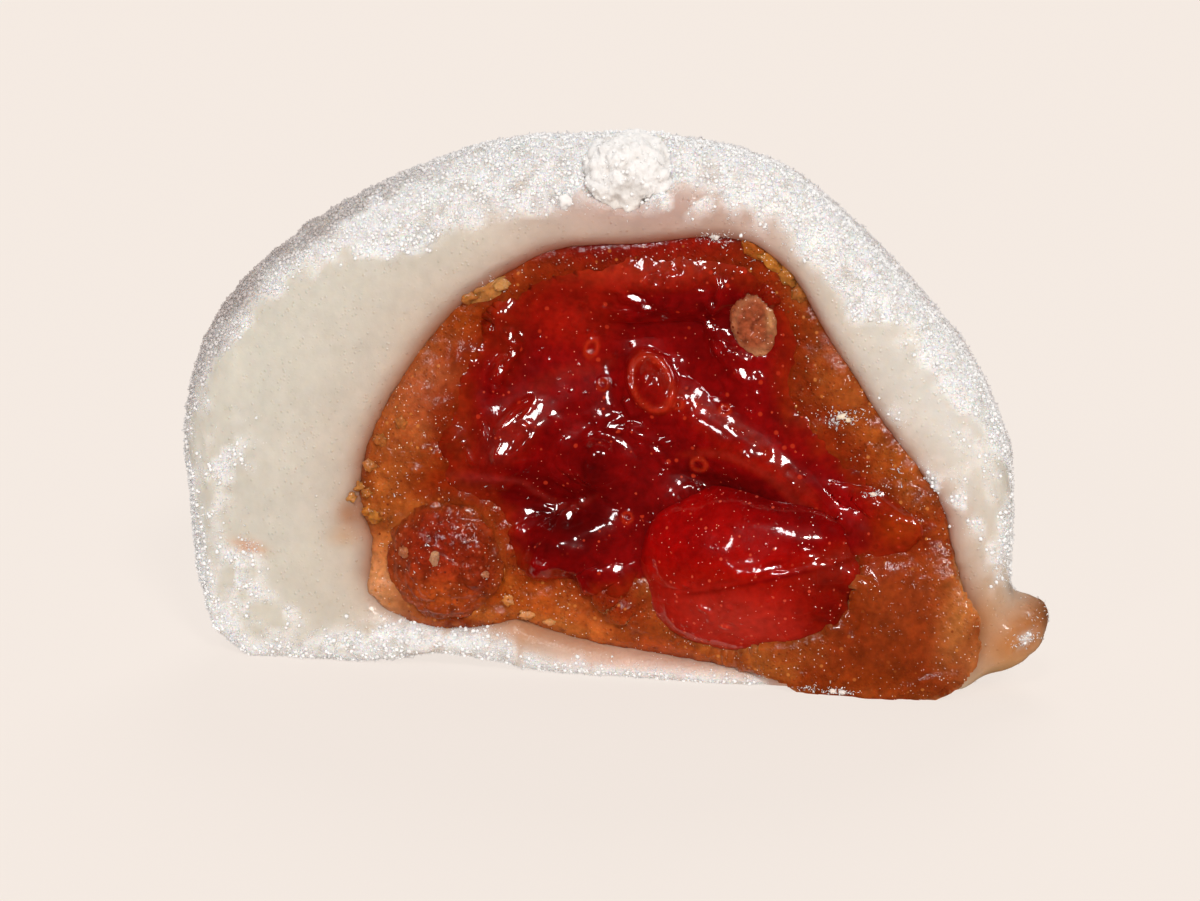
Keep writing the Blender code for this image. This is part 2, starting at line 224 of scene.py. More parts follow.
def raised(bm, rise, side=0.0, front=0.0, glints=()):
    """Moves every point out along its normal by rise(points, normals), and spreads the piece.

    side and front are the spread in mm to its sides and toward the knife. The surface leans toward the lamp
    at each of the glints: x, z, half length, half width, turn.
    """
    points, normals = read(bm)
    points = points + normals * (side, front, side) + normals * rise(points, normals)[:, None]
    for x, z, half_length, half_width, turn in glints:
        share = facing(normals) * oval(points, x, z, half_length, half_width, turn)
        if share.sum() > LEAN_LEAST:
            middle = (share * points[:, 1]).sum() / share.sum()
            plane = middle + LEAN[0] * (points[:, 0] - x) + LEAN[1] * (points[:, 2] - z)
            points[:, 1] += smooth(1.3 * share) * np.clip(plane - points[:, 1], -LEAN_MOST, LEAN_MOST)
    points[:, 2] = np.maximum(points[:, 2], 0.0)
    for vert, point in zip(bm.verts, points):
        vert.co = point


def painted(bm, tint):
    """Keeps tint(points, normals), linear red, green, blue and a fourth value, at every point."""
    points, normals = read(bm)
    layer = bm.verts.layers.float_color.new("tint")
    for vert, colour in zip(bm.verts, tint(points, normals)):
        vert[layer] = colour


def dressed(node, rise, tint, **spread):
    """The node's solid raised and painted. spread is what raised takes besides."""
    bm = solids[node]
    raised(bm, rise, **spread)
    painted(bm, tint)
    return bm


def finished(name, bm, material, nodes=()):
    """The bmesh as a smooth-shaded piece in metres that rides on the cake and stands for these solids."""
    bmesh.ops.scale(bm, vec=(MM,) * 3, verts=bm.verts)
    mesh = bpy.data.meshes.new(name)
    bm.to_mesh(mesh)
    bm.free()
    return placed(name, mesh, material, nodes)


def placed(name, mesh, material, nodes=()):
    mesh.shade_smooth()
    mesh.materials.append(material)
    piece = shown(name, mesh)
    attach(piece, "root")
    if nodes:
        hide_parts(*nodes)
    return piece


def blended(colours, patches, points):
    """The colours with each patch (x, z, half length, half width, turn, colour, strength) laid over them."""
    for x, z, half_length, half_width, turn, patch, strength in patches:
        share = strength * oval(points, x, z, half_length, half_width, turn)
        colours = over(colours, patch, share)
    return colours


def over(colours, upper, share):
    """The colours turned by this share toward upper, a hex colour or a colour for every point."""
    upper = linear(upper) if isinstance(upper, str) else upper
    return colours + (upper - colours) * share[:, None]


def plain(colour, points):
    return np.tile(linear(colour), (len(points), 1))


WET_HAZE = np.array((0.0, 0.003, 0.003))
DARKEST = 0.0015


def under_gloss(colours):
    """The colours less the pale light that a wet surface throws back on top of them."""
    return np.maximum(colours - WET_HAZE, DARKEST)


def with_wetness(colours, wetness):
    """The colours with how wet and smooth the surface is, 0 to 1, as their fourth value."""
    return np.column_stack([colours, np.clip(wetness, 0.0, 1.0) * np.ones(len(colours))])


def tree_of(bm, limit):
    """The bmesh's points in front of this y, for finding the nearest."""
    points = [v.co.copy() for v in bm.verts if v.co.y < limit]
    tree = KDTree(len(points))
    for index, point in enumerate(points):
        tree.insert(point, index)
    tree.balance()
    return tree


FAR = 99.0
SOUGHT = 4.5  # points further behind the cut than this count as far from every piece


def near(tree, points):
    """How far every point by the cut is from the nearest in the tree, in mm."""
    return np.array([tree.find(point)[2] if point[1] < CUT_Y + SOUGHT else FAR for point in points])


def bordered(colours, tree, points, ragged, width, colour, strength):
    """The colours turned to this one at the border with the tree's piece, over so many mm."""
    gap = np.maximum(near(tree, points) + ragged, 0)
    return over(colours, colour, strength * bell(gap, width))


# The solids laid again finely, each with its voxel in mm and how often it is eased.
solids = {
    node: remeshed(node, voxel, rounds)
    for node, voxel, rounds in (
        ("rice_skin", 0.34, 3),
        ("bean_paste", 0.197, 2),
        ("red_jam", 0.13, 4),
        ("fruit_piece", 0.13, 12),
        ("paste_lump", 0.11, 5),
        ("paste_chip", 0.07, 2),
        ("starch_clump", 0.10, 1),
    )
}
by_paste = tree_of(solids["bean_paste"], CUT_Y + 3)
by_jam = tree_of(solids["red_jam"], CUT_Y + 3)
by_fruit = tree_of(solids["fruit_piece"], CUT_Y + 2)
by_lump = tree_of(solids["paste_lump"], CUT_Y + 2)

RIM_CENTRE = (0.0, 13.0)
RIM_STEPS = 120


def rim_table():
    """The dough's outer reach from the rim centre at each turn, in mm."""
    points, _ = read(solids["rice_skin"])
    points = points[points[:, 1] < CUT_Y + 6]
    right, up = points[:, 0] - RIM_CENTRE[0], points[:, 2] - RIM_CENTRE[1]
    steps = (np.arctan2(up, right) % math.tau / math.tau * RIM_STEPS).astype(int) % RIM_STEPS
    reach = np.zeros(RIM_STEPS)
    np.maximum.at(reach, steps, np.hypot(right, up))
    return reach


rim_reach = rim_table()


def turn_and_inset(points):
    """The turn in degrees round the cut, and how far inside the dough's outline every point lies."""
    right, up = points[:, 0] - RIM_CENTRE[0], points[:, 2] - RIM_CENTRE[1]
    turn = np.degrees(np.arctan2(up, right)) % 360
    reach = np.interp(turn, (np.arange(RIM_STEPS) + 0.5) * 360 / RIM_STEPS, rim_reach, period=360)
    return turn, reach - np.hypot(right, up)


# How wide the starch band is at each turn in degrees, in mm, measured inward from the outline.
STARCH_BAND = (
    (0, 0.1),
    (8, 0.6),
    (16, 2.2),
    (35, 2.6),
    (55, 2.4),
    (70, 2.4),
    (85, 3.0),
    (100, 3.6),
    (115, 4.4),
    (135, 4.2),
    (150, 3.2),
    (165, 1.7),
    (185, 1.1),
    (200, 1.2),
    (212, 1.6),
    (225, 1.4),
    (240, 0.6),
    (290, 0.4),
    (310, 0.0),
    (335, 0.0),
    (348, 0.1),
)
# Extra starch on the cut face: x, z, half length, half width, turn, strength.
STARCH_PATCHES = (
    (-23.6, 12.2, 2.2, 1.5, 60, 1.0),
    (-24.2, 9.2, 1.2, 0.8, 60, 0.6),
    (-23.0, 5.6, 2.2, 1.1, -60, 0.7),
    (-21.0, 2.6, 2.6, 1.1, -35, 0.8),
    (6.3, 29.3, 2.4, 0.9, 10, 0.9),
    (9.6, 29.2, 1.8, 1.4, -30, 0.9),
    (3.6, 29.6, 2.0, 1.0, 0, 0.9),
    (-0.8, 30.4, 2.2, 1.4, 0, 0.9),
    (19.4, 13.4, 1.6, 0.5, -48, 0.8),
    (21.2, 12.0, 1.8, 0.7, -40, 0.9),
    (23.0, 10.8, 1.6, 0.8, -30, 0.8),
    (22.4, 15.0, 1.8, 2.4, 0, 0.45),
    (23.6, 12.4, 1.0, 1.6, 0, 0.6),
    (24.0, 7.8, 1.0, 2.2, 0, 0.4),
    (17.4, 17.2, 1.2, 0.6, -50, 0.5),
    (25.3, 3.5, 0.8, 0.4, 40, 1.0),
)
# The crust of starch along the bottom, and thin veins on the left.
STARCH_CRUST = (
    (-22.1, 0.3),
    (-18.9, 0.5),
    (-16.9, 1.0),
    (-14.4, 1.6),
    (-10.6, 2.1),
    (-7.5, 1.6),
    (-5.0, 1.1),
)
STARCH_CRUST_RIGHT = ((-5.0, 1.0), (-2.5, 0.5), (1.2, 0.3), (4.9, 0.25), (10.5, 0.1))
STARCH_VEINS = (
    ((-23.8, 7.4), (-22.4, 5.4), (-20.6, 3.9), (-18.0, 2.4)),
    ((-22.6, 8.6), (-21.4, 6.0), (-21.6, 3.4)),
)
# Ovals: the drawn-out tongue of dough, bare of starch but for a patch, and the right wall, thinly dusted.
LIP = (25.0, 3.6, 2.3, 2.7, 0)
RIGHT_WALL = (24.5, 10.0, 3.6, 5.4, 0)


def starch(points):
    """How thickly starch lies on the dough, 0 to 1, at every point."""
    behind = points[:, 1] - CUT_Y
    turn, inset = turn_and_inset(points)
    width = np.interp(turn, [t for t, _ in STARCH_BAND], [w for _, w in STARCH_BAND], period=360)
    fine = waves(points, 0.8)
    ragged = 1.1 * waves(points, 2.6) + 0.8 * waves(points, 0.9, 3.0)
    band = smooth(0.5 + (width - inset + ragged) / 1.3)
    patch = ovals(points, STARCH_PATCHES)
    patch = patch + sum(0.75 * fold(points, vein, 0.5) for vein in STARCH_VEINS)
    patch = patch * smooth(0.55 + 1.8 * fine)
    crust = 1.3 * fold(points, STARCH_CRUST, 0.9, 1.4, 0.05)
    crust = crust + fold(points, STARCH_CRUST_RIGHT, 0.5, 0.8, 0.05)
    crust = crust * smooth(1.15 + 1.2 * fine)
    cover = np.maximum(np.maximum(band, patch), crust)
    bare = smooth(1.8 * oval(points, *LIP)) * ramp(behind, 7.0, 4.0)
    cover = cover * (1 - bare * (1 - ovals(points, STARCH_PATCHES[-1:])))
    bare = np.maximum(bare, 0.75 * oval(points, *RIGHT_WALL) * ramp(behind, 7.0, 4.0))
    cover = np.maximum(cover, smooth((behind - 2.8) / 1.6) * (1 - bare))
    return np.clip(cover, 0.0, 1.0)


def shoulder_shade(points):
    """How much painted shade greys the thin starch on the dough's upper left shoulder, 0 to 1."""
    turn, inset = turn_and_inset(points)
    shoulder = ramp(turn, 188, 160) * ramp(turn, 104, 150)
    width = 1.0 + 2.0 * ramp(turn, 130, 158)
    by_cut = ramp(points[:, 1], CUT_Y + 10, CUT_Y + 6)
    return 0.85 * shoulder * by_cut * ramp(inset + 0.8 * waves(points, 1.2), width, 0.5)


def greyed(points):
    """How grey the dust lies in the shade just behind the cut's edge, 0 to 0.5."""
    behind = points[:, 1] - CUT_Y
    return 0.5 * ramp(behind, 2.0, 6.0) * ramp(behind, 13.0, 8.0)


# Materials. A Map Range node turns values between the first two of these to values between the last two.
RANGE = ("From Min", "From Max", "To Min", "To Max")
MULTIPLY = {"operation": "MULTIPLY"}
# Where a fleck or a bead ends and where it is full, from its cell's middle, in sizes of the cell.
FLECK = (0.34, 0.2)
BEAD = (0.42, 0.05)


def empty_material(name):
    material = bpy.data.materials.new(name)
    material.use_nodes = True
    material.node_tree.nodes.clear()
    return material


def add(material, kind, settings=None, values=None, links=None):
    """Adds a node with its own settings, its constant socket values, and links into its sockets."""
    node = material.node_tree.nodes.new(kind)
    for key, value in (settings or {}).items():
        setattr(node, key, value)
    for key, value in (values or {}).items():
        node.inputs[key].default_value = value
    for key, source in (links or {}).items():
        material.node_tree.links.new(source, node.inputs[key])
    return node


def clouded(material, where, colour, size, strength):
    """The colour made lighter and darker in soft clouds of about this size in mm."""
    values = {"Scale": 1 / (size * MM), "Detail": 3.0}
    cloud = add(material, "ShaderNodeTexNoise", None, values, {"Vector": where})
    between = dict(zip(RANGE, (0.3, 0.7, 1 - strength, 1 + strength)))
    spread = add(material, "ShaderNodeMapRange", None, between, {"Value": cloud.outputs["Fac"]})
    links = {0: colour, 1: spread.outputs["Result"]}
    return add(material, "ShaderNodeVectorMath", MULTIPLY, None, links).outputs["Vector"]


def spotted(material, where, size, share, channel, end, full):
    """1 in the middles of this share of cells, chosen by one channel of their random colours, and else 0."""
    cell = add(material, "ShaderNodeTexVoronoi", None, {"Scale": 1 / (size * MM)}, {"Vector": where})
    split = add(material, "ShaderNodeSeparateColor", None, None, {"Color": cell.outputs["Color"]})
    between = dict(zip(RANGE, (end, full, 0.0, 1.0)))
    middle = add(material, "ShaderNodeMapRange", None, between, {"Value": cell.outputs["Distance"]})
    few = add(material, "ShaderNodeMath", {"operation": "LESS_THAN"}, {1: share}, {0: split.outputs[channel]})
    links = {0: middle.outputs["Result"], 1: few.outputs["Value"]}
    return add(material, "ShaderNodeMath", MULTIPLY, None, links).outputs["Value"]


def flecked(material, where, colour, wet, size, share, fleck):
    """The colour with a small fleck in this share of cells, fading out where the surface is smooth."""
    spot = spotted(material, where, size, share, "Red", *FLECK)
    between = dict(zip(RANGE, (0.4, 0.9, 1.0, 0.15)))
    dry = add(material, "ShaderNodeMapRange", None, between, {"Value": wet})
    mask = add(material, "ShaderNodeMath", MULTIPLY, None, {0: spot, 1: dry.outputs["Result"]})
    values, links = {7: (*linear(fleck), 1.0)}, {0: mask.outputs["Value"], 6: colour}
    return add(material, "ShaderNodeMix", {"data_type": "RGBA"}, values, links).outputs[2]


def laid_over(material, below, height, rise, wet, dry, soaked_and_side_light):
    """Relief of this rise in mm over what lies below, of these strengths where it is dry and where wet."""
    between = dict(zip(RANGE, (0.0, 1.0, dry, soaked_and_side_light)))
    strength = add(material, "ShaderNodeMapRange", None, between, {"Value": wet})
    links = {"Height": height, "Strength": strength.outputs["Result"]}
    if below:
        links["Normal"] = below
    return add(material, "ShaderNodeBump", None, {"Distance": rise * MM}, links).outputs["Normal"]


def food(name, inside, specular, coat, gloss, mottle=(), flecks=(), bumps=(), beads=()):
    """A food surface: the painted tint, clouded and flecked, with fine relief on top of the piece's own.

    inside is how light goes in: its share, the reach of red, green and blue, and their scale in mm. coat is
    the film of moisture: how much of it and how rough. gloss is the roughness where the tint's fourth value,
    the wetness, is 0 and where it is 1. The rest have their sizes and heights in mm. mottle is (size,
    strength) and flecks are (size, share of cells, colour). bumps are (size, height, strength where dry,
    strength where wet). beads are tiny domes that sparkle: (size, height, share of cells, strength where
    dry, strength where wet).
    """
    made = empty_material(name)
    where = add(made, "ShaderNodeTexCoord").outputs["Object"]
    tint = add(made, "ShaderNodeAttribute", {"attribute_name": "tint"})
    colour, wet = tint.outputs["Color"], tint.outputs["Alpha"]
    for size, strength in mottle:
        colour = clouded(made, where, colour, size, strength)
    for size, share, fleck in flecks:
        colour = flecked(made, where, colour, wet, size, share, fleck)
    relief = None
    for size, height, dry, soaked_and_side_light in bumps:
        values = {"Scale": 1 / (size * MM), "Detail": 3.0}
        cloud = add(made, "ShaderNodeTexNoise", None, values, {"Vector": where})
        relief = laid_over(made, relief, cloud.outputs["Fac"], height, wet, dry, soaked_and_side_light)
    for size, height, share, dry, soaked_and_side_light in beads:
        domes = spotted(made, where, size, share, "Green", *BEAD)
        relief = laid_over(made, relief, domes, height, wet, dry, soaked_and_side_light)
    between = dict(zip(RANGE, (0.0, 1.0, *gloss)))
    rough = add(made, "ShaderNodeMapRange", None, between, {"Value": wet})
    values = {
        "Subsurface Weight": inside[0],
        "Subsurface Radius": inside[1],
        "Subsurface Scale": inside[2] * MM,
        "Specular IOR Level": specular,
        "Coat Weight": coat[0],
        "Coat Roughness": coat[1],
    }
    links = {
        "Base Color": colour,
        "Roughness": rough.outputs["Result"],
        "Normal": relief,
        "Coat Normal": relief,
    }
    shader = add(made, "ShaderNodeBsdfPrincipled", None, values, links)
    add(made, "ShaderNodeOutputMaterial", None, None, {"Surface": shader.outputs["BSDF"]})
    return made


# Steamed rice dough: light goes some way in, moist where the knife opened it.
dough_look = food(
    "steamed_rice_dough_cut",
    inside=(0.7, (1.0, 0.70, 0.50), 0.7),
    specular=0.3,
    coat=(0.5, 0.15),
    gloss=(0.8, 0.4),
    mottle=((3.0, 0.05), (0.7, 0.04)),
    # The white flecks are painted glints of moisture, partly starch grains.
    flecks=((0.1, 0.02, "#fffdfa"),),
    bumps=((1.1, 0.05, 0.3, 1.0), (0.2, 0.10, 1.0, 0.15)),
    beads=((0.24, 0.04, 0.25, 0.0, 1.0),),
)
# Bean paste boiled down with syrup: grainy, amber and moist.
paste_look = food(
    "bean_paste_boiled_with_syrup",
    inside=(0.35, (1.0, 0.30, 0.10), 0.7),
    specular=0.05,
    coat=(0.8, 0.06),
    gloss=(0.45, 0.3),
    mottle=((1.6, 0.20), (0.4, 0.18)),
    # The last, palest flecks are painted glints of the wet grains.
    flecks=((0.4, 0.10, "#c07034"), (0.3, 0.05, "#7c3414"), (0.12, 0.06, "#fbe8d4")),
    bumps=((0.6, 0.11, 1.0, 0.2), (0.22, 0.06, 1.0, 0.1)),
    beads=((0.22, 0.08, 0.5, 1.0, 0.25),),
)
# Jam set clear and glossy.
jam_look = food(
    "berry_jam_set_glossy",
    inside=(0.4, (1.0, 0.06, 0.03), 0.9),
    specular=0.05,
    coat=(1.0, 0.06),
    gloss=(0.3, 0.2),
    mottle=((2.2, 0.22), (0.5, 0.24)),
    # The last, palest flecks are painted glints of tiny bubbles.
    flecks=((0.5, 0.06, "#b02c16"), (0.3, 0.03, "#b83a22"), (0.12, 0.02, "#e88a74")),
    bumps=((1.0, 0.03, 1.0, 0.5),),
    beads=((0.4, 0.05, 0.12, 1.0, 0.0),),
)
# Fruit flesh soaked in syrup.
fruit_look = food(
    "fruit_flesh_soaked_in_syrup",
    inside=(0.6, (1.0, 0.10, 0.05), 1.3),
    specular=0.05,
    coat=(1.0, 0.06),
    gloss=(0.3, 0.2),
    mottle=((1.8, 0.14), (0.5, 0.18)),
    # The last, palest flecks are painted glints.
    flecks=((0.35, 0.10, "#c84832"), (0.12, 0.04, "#f0a090")),
    bumps=((0.7, 0.03, 1.0, 0.5),),
    beads=((0.35, 0.05, 0.2, 1.0, 0.1),),
)
# Coarse paste with bean skins left in.
lump_look = food(
    "coarse_bean_paste_with_skins",
    inside=(0.25, (1.0, 0.25, 0.10), 0.5),
    specular=0.05,
    coat=(0.7, 0.08),
    gloss=(0.5, 0.3),
    mottle=((0.9, 0.22), (0.3, 0.30)),
    # The last, palest flecks are painted glints of the wet grains.
    flecks=((0.36, 0.14, "#a8543a"), (0.3, 0.05, "#6c2412"), (0.11, 0.06, "#f4d0b8")),
    bumps=((0.35, 0.08, 1.0, 0.3),),
    beads=((0.22, 0.06, 0.5, 1.0, 0.3),),
)
# Potato starch, sifted on and caked by the dough's moisture. Its grains are finer than 0.1 mm, and its relief
# and the frost below are drawn coarser, so that they show.
starch_look = food(
    "potato_starch_sifted_on",
    inside=(0.3, (1.0, 0.95, 0.9), 0.15),
    specular=0.5,
    coat=(0.0, 0.03),
    gloss=(0.8, 0.5),
    mottle=((0.8, 0.03),),
    bumps=((0.12, 0.04, 1.0, 1.0),),
)

# Relief that runs on over jam, paste and fruit alike. Swells: x, z, half length, half width, turn, rise.
SWELLS = (
    (-5.4, 13.7, 2.0, 1.1, 45, 0.72),
    (1.8, 22.3, 1.3, 0.9, 10, 0.6),
    (4.6, 23.0, 1.4, 0.8, 0, 0.4),
    (-3.4, 6.8, 1.3, 0.7, 15, 0.5),
    (-3.6, 10.0, 0.5, 0.3, -20, 0.2),
    (-2.2, 9.6, 0.35, 0.9, -30, 0.3),
    (9.4, 7.6, 1.4, 0.5, 20, 0.25),
    (-4.9, 12.8, 0.5, 0.35, 30, 0.2),
    (2.6, 17.4, 0.4, 0.3, -60, 0.2),
    (-0.4, 12.8, 0.4, 0.3, 0, 0.15),
    (-0.2, 13.4, 0.9, 0.8, 0, 0.45),
    (8.5, 12.0, 4.2, 0.9, -14, -0.12),
    (3.0, 18.0, 0.95, 0.6, -61, 0.45),
    (-3.4, 10.2, 3.4, 0.8, -14, -0.2),
    (-13.8, 4.8, 1.0, 0.7, -30, 0.5),
    (-10.8, 13.7, 0.45, 0.4, 0, 0.35),
    (-9.2, 18.6, 1.4, 0.6, 60, 0.4),
    (-11.4, 16.4, 1.2, 0.6, 40, 0.35),
    (-3.3, 4.2, 2.0, 0.9, -25, 0.35),
)
# Folds: the curve's marks, rise, width on its left and on its right.
FOLDS = {
    "top ridge": (((-1.5, 22.2), (1.5, 22.9), (4.3, 23.6), (6.5, 23.4)), 0.25, 0.5, 0.8),
    "right chain": (
        ((7.4, 24.6), (7.0, 23.4), (6.4, 21.8), (7.2, 20.2), (8.6, 19.0), (9.6, 17.6)),
        0.4,
        0.45,
        0.5,
    ),
    "left chain": (((-5.4, 22.8), (-6.5, 21.2), (-5.5, 20.0), (-6.3, 18.2), (-6.6, 17.0)), 0.55, 0.5, 0.5),
    "long streak": (((-4.2, 16.9), (-5.4, 15.7), (-6.4, 14.7)), 0.22, 0.3, 0.25),
    "glare lines": (((-3.9, 14.8), (-5.2, 13.9), (-6.6, 13.4)), 0.12, 0.3, 0.3),
    "short streak": (((-8.3, 14.3), (-7.7, 12.8)), 0.25, 0.25, 0.25),
    "arc": (((-1.0, 14.6), (0.7, 15.4), (2.3, 15.0), (3.3, 14.1), (3.9, 13.4), (5.7, 13.2)), 0.12, 0.4, 0.4),
    "arc foot": (((1.5, 17.0), (2.0, 15.8)), 0.25, 0.3, 0.3),
    "film top": (
        ((1.4, 20.2), (4.4, 17.6), (8.6, 15.5), (11.3, 13.1), (13.5, 11.3), (17.0, 10.7)),
        -0.04,
        0.8,
        0.9,
    ),
    "film foot": (((3.8, 13.6), (7.2, 14.1), (10.1, 13.0), (12.5, 10.9), (15.2, 9.6)), 0.03, 0.9, 0.35),
    "pool edge": (((-11.2, 11.9), (-5.6, 12.0), (-3.8, 10.9), (-2.1, 10.1), (0.3, 11.6)), 0.12, 0.3, 0.6),
    "run": (
        ((-4.9, 6.3), (-3.4, 7.4), (-2.2, 7.6), (-1.2, 6.9), (-0.5, 5.7), (0.3, 4.6), (1.4, 3.9), (2.6, 3.4)),
        0.5,
        0.6,
        0.35,
    ),
    "crease lip": (((4.1, 5.9), (7.6, 7.0), (11.1, 8.0), (14.1, 8.6), (16.2, 9.1)), 0.06, 1.1, 0.2),
    "crease": (((4.0, 5.4), (7.6, 6.4), (11.1, 7.3), (14.1, 8.0), (16.0, 8.5)), 0.1, 0.25, 0.5),
    "fruit rim": (
        ((2.6, 7.4), (3.0, 5.0), (3.8, 3.0), (4.7, 2.3), (6.3, 2.1), (8.1, 1.7), (11.2, 1.9), (14.0, 2.5)),
        0.16,
        0.22,
        0.22,
    ),
    "wrinkle a": (((13.4, 7.2), (14.8, 6.2), (15.6, 5.0), (15.2, 3.6)), -0.4, 0.4, 0.4),
    "wrinkle b": (((14.4, 7.6), (16.2, 6.6), (16.8, 5.0)), 0.35, 0.45, 0.45),
    "wrinkle c": (((12.6, 5.6), (14.0, 5.0), (14.4, 3.4)), 0.2, 0.3, 0.3),
    "spill rim": (
        ((14.2, 0.5), (17.4, 0.3), (18.2, 0.6), (19.4, 1.2), (21.0, 1.6), (23.1, 2.0)),
        0.2,
        0.2,
        0.25,
    ),
    "step": (((-6.1, 6.8), (-6.2, 5.0), (-6.0, 3.4)), -0.35, 0.3, 0.35),
    "amber fold": (((20.7, 9.2), (21.3, 7.2), (22.3, 4.4), (23.4, 2.4)), 0.3, 0.35, 0.35),
    "right fold": (((18.0, 14.2), (18.6, 12.6), (20.0, 11.6)), 0.3, 0.4, 0.4),
    "left fold": (((-12.6, 12.0), (-10.0, 12.9), (-8.4, 14.9)), 0.3, 0.5, 0.5),
    "upper fold": (((-10.4, 15.4), (-8.6, 17.6), (-7.8, 20.2)), 0.25, 0.5, 0.5),
}
# Bubbles under the surface: x, z, half length, half width, turn, width of the rim, rise.
BUBBLES = (
    (2.95, 18.0, 1.65, 1.1, -61, 0.16, 0.22),
    (-0.9, 19.85, 0.5, 0.35, 70, 0.11, 0.13),
    (-0.1, 17.7, 0.3, 0.28, 0, 0.1, 0.13),
    (5.9, 13.3, 0.45, 0.38, 0, 0.12, 0.13),
    (-10.8, 13.7, 0.7, 0.6, 0, 0.15, 0.12),
    (4.6, 16.8, 0.25, 0.22, 0, 0.09, 0.1),
    (7.4, 16.6, 0.3, 0.25, 0, 0.09, 0.1),
    (1.6, 9.9, 0.3, 0.3, 0, 0.09, 0.1),
)
# Glints: places where the wet surface leans toward the lamp: x, z, half length, half width, turn.
GLINTS = (
    (1.9, 23.1, 0.9, 0.42, 5),
    (1.1, 23.6, 0.4, 0.25, 0),
    (2.7, 22.6, 0.5, 0.25, 20),
    (2.9, 24.3, 0.7, 0.22, 5),
    (4.4, 24.2, 0.6, 0.24, 0),
    (5.9, 23.8, 0.5, 0.26, -10),
    (7.2, 24.2, 0.26, 0.5, 0),
    (6.6, 22.9, 0.24, 0.5, 0),
    (6.3, 21.6, 0.26, 0.8, -5),
    (7.0, 20.2, 0.25, 0.5, 20),
    (8.5, 18.9, 0.7, 0.55, 0),
    (9.3, 17.8, 0.3, 0.4, 0),
    (-5.6, 22.6, 0.28, 0.35, 0),
    (-6.8, 21.1, 0.24, 0.55, -15),
    (-5.6, 20.6, 0.24, 0.45, 0),
    (-5.4, 19.6, 0.24, 0.4, 10),
    (-6.1, 18.6, 0.24, 0.5, 0),
    (-6.5, 17.5, 0.24, 0.35, 0),
    (2.7, 18.4, 0.3, 0.2, -40),
    (3.2, 17.6, 0.26, 0.18, -40),
    (-5.3, 15.7, 1.2, 0.2, 43),
    (-5.6, 14.1, 1.1, 0.5, 42),
    (-6.9, 14.9, 0.3, 0.5, 10),
    (-4.6, 13.3, 0.5, 0.22, 0),
    (-7.95, 13.5, 0.2, 0.75, 20),
    (-0.7, 14.9, 0.26, 0.18, 0),
    (0.7, 15.4, 0.55, 0.22, 12),
    (2.3, 15.0, 0.6, 0.26, -15),
    (3.3, 14.1, 0.45, 0.3, -40),
    (3.9, 13.3, 0.3, 0.22, -20),
    (5.6, 13.3, 0.22, 0.2, 0),
    (-0.4, 13.0, 0.36, 0.26, -30),
    (-1.3, 10.7, 0.26, 0.4, -20),
    (-2.0, 9.8, 0.28, 0.5, -10),
    (-3.5, 7.2, 1.0, 0.34, 14),
    (-0.6, 5.8, 0.22, 0.6, 25),
    (0.9, 4.2, 0.75, 0.22, -35),
    (2.2, 3.5, 0.4, 0.2, -25),
    (10.4, 7.8, 1.1, 0.26, 20),
    (12.7, 9.0, 0.36, 0.22, 0),
    (13.9, 9.0, 0.26, 0.2, 0),
    (5.7, 6.5, 0.32, 0.2, 0),
    (6.8, 5.2, 0.45, 0.24, 0),
    (8.4, 5.4, 0.3, 0.2, 0),
    (8.0, 4.1, 0.36, 0.2, 0),
    (-11.3, 10.3, 0.4, 0.22, 0),
    (-10.1, 10.2, 0.45, 0.24, 0),
    (16.9, 12.2, 0.3, 0.2, 0),
    (19.5, 10.1, 0.22, 0.5, -15),
    (20.4, 9.4, 0.2, 0.4, -10),
    (-10.9, 13.9, 0.3, 0.22, 0),
    (-9.4, 19.0, 0.22, 0.5, -20),
    (15.0, 15.8, 0.3, 0.22, -40),
)
# Where small ripples gather: x, z, half length, half width, turn, strength.
RIPPLES = (
    (1.9, 23.2, 2.0, 0.9, 8, 1.0),
    (5.0, 24.2, 2.4, 0.7, 0, 0.9),
    (6.7, 21.8, 0.9, 2.6, 5, 1.0),
    (8.5, 18.9, 1.0, 1.0, 0, 1.0),
    (2.0, 14.9, 3.0, 0.7, -12, 1.0),
    (-5.9, 20.2, 0.9, 3.0, 0, 0.9),
    (-5.6, 14.0, 1.6, 1.1, 40, 0.4),
    (7.6, 4.9, 1.3, 0.9, 20, 0.7),
    (5.7, 6.5, 0.8, 0.4, 10, 0.5),
    (-10.4, 10.2, 1.6, 0.5, -5, 0.9),
    (9.8, 13.4, 2.0, 1.0, -38, 0.5),
)


def filling_rise(points):
    """The relief that the pieces of the filling share."""
    rise = ovals(points, SWELLS)
    folds = (height * fold(points, marks, left, right) for marks, height, left, right in FOLDS.values())
    rise = rise + sum(folds)
    rise = rise + sum(b[6] * ring(points, *b[:6]) for b in BUBBLES)
    rippled = ovals(points, RIPPLES)
    return rise + rippled * (0.20 * waves(points, 0.8) + 0.14 * waves(points, 0.45, 5.0))


def facing(normals):
    """1 where a surface faces the knife's side and 0 where it lies in the cake."""
    return ramp(-normals[:, 1], 0.1, 0.5)


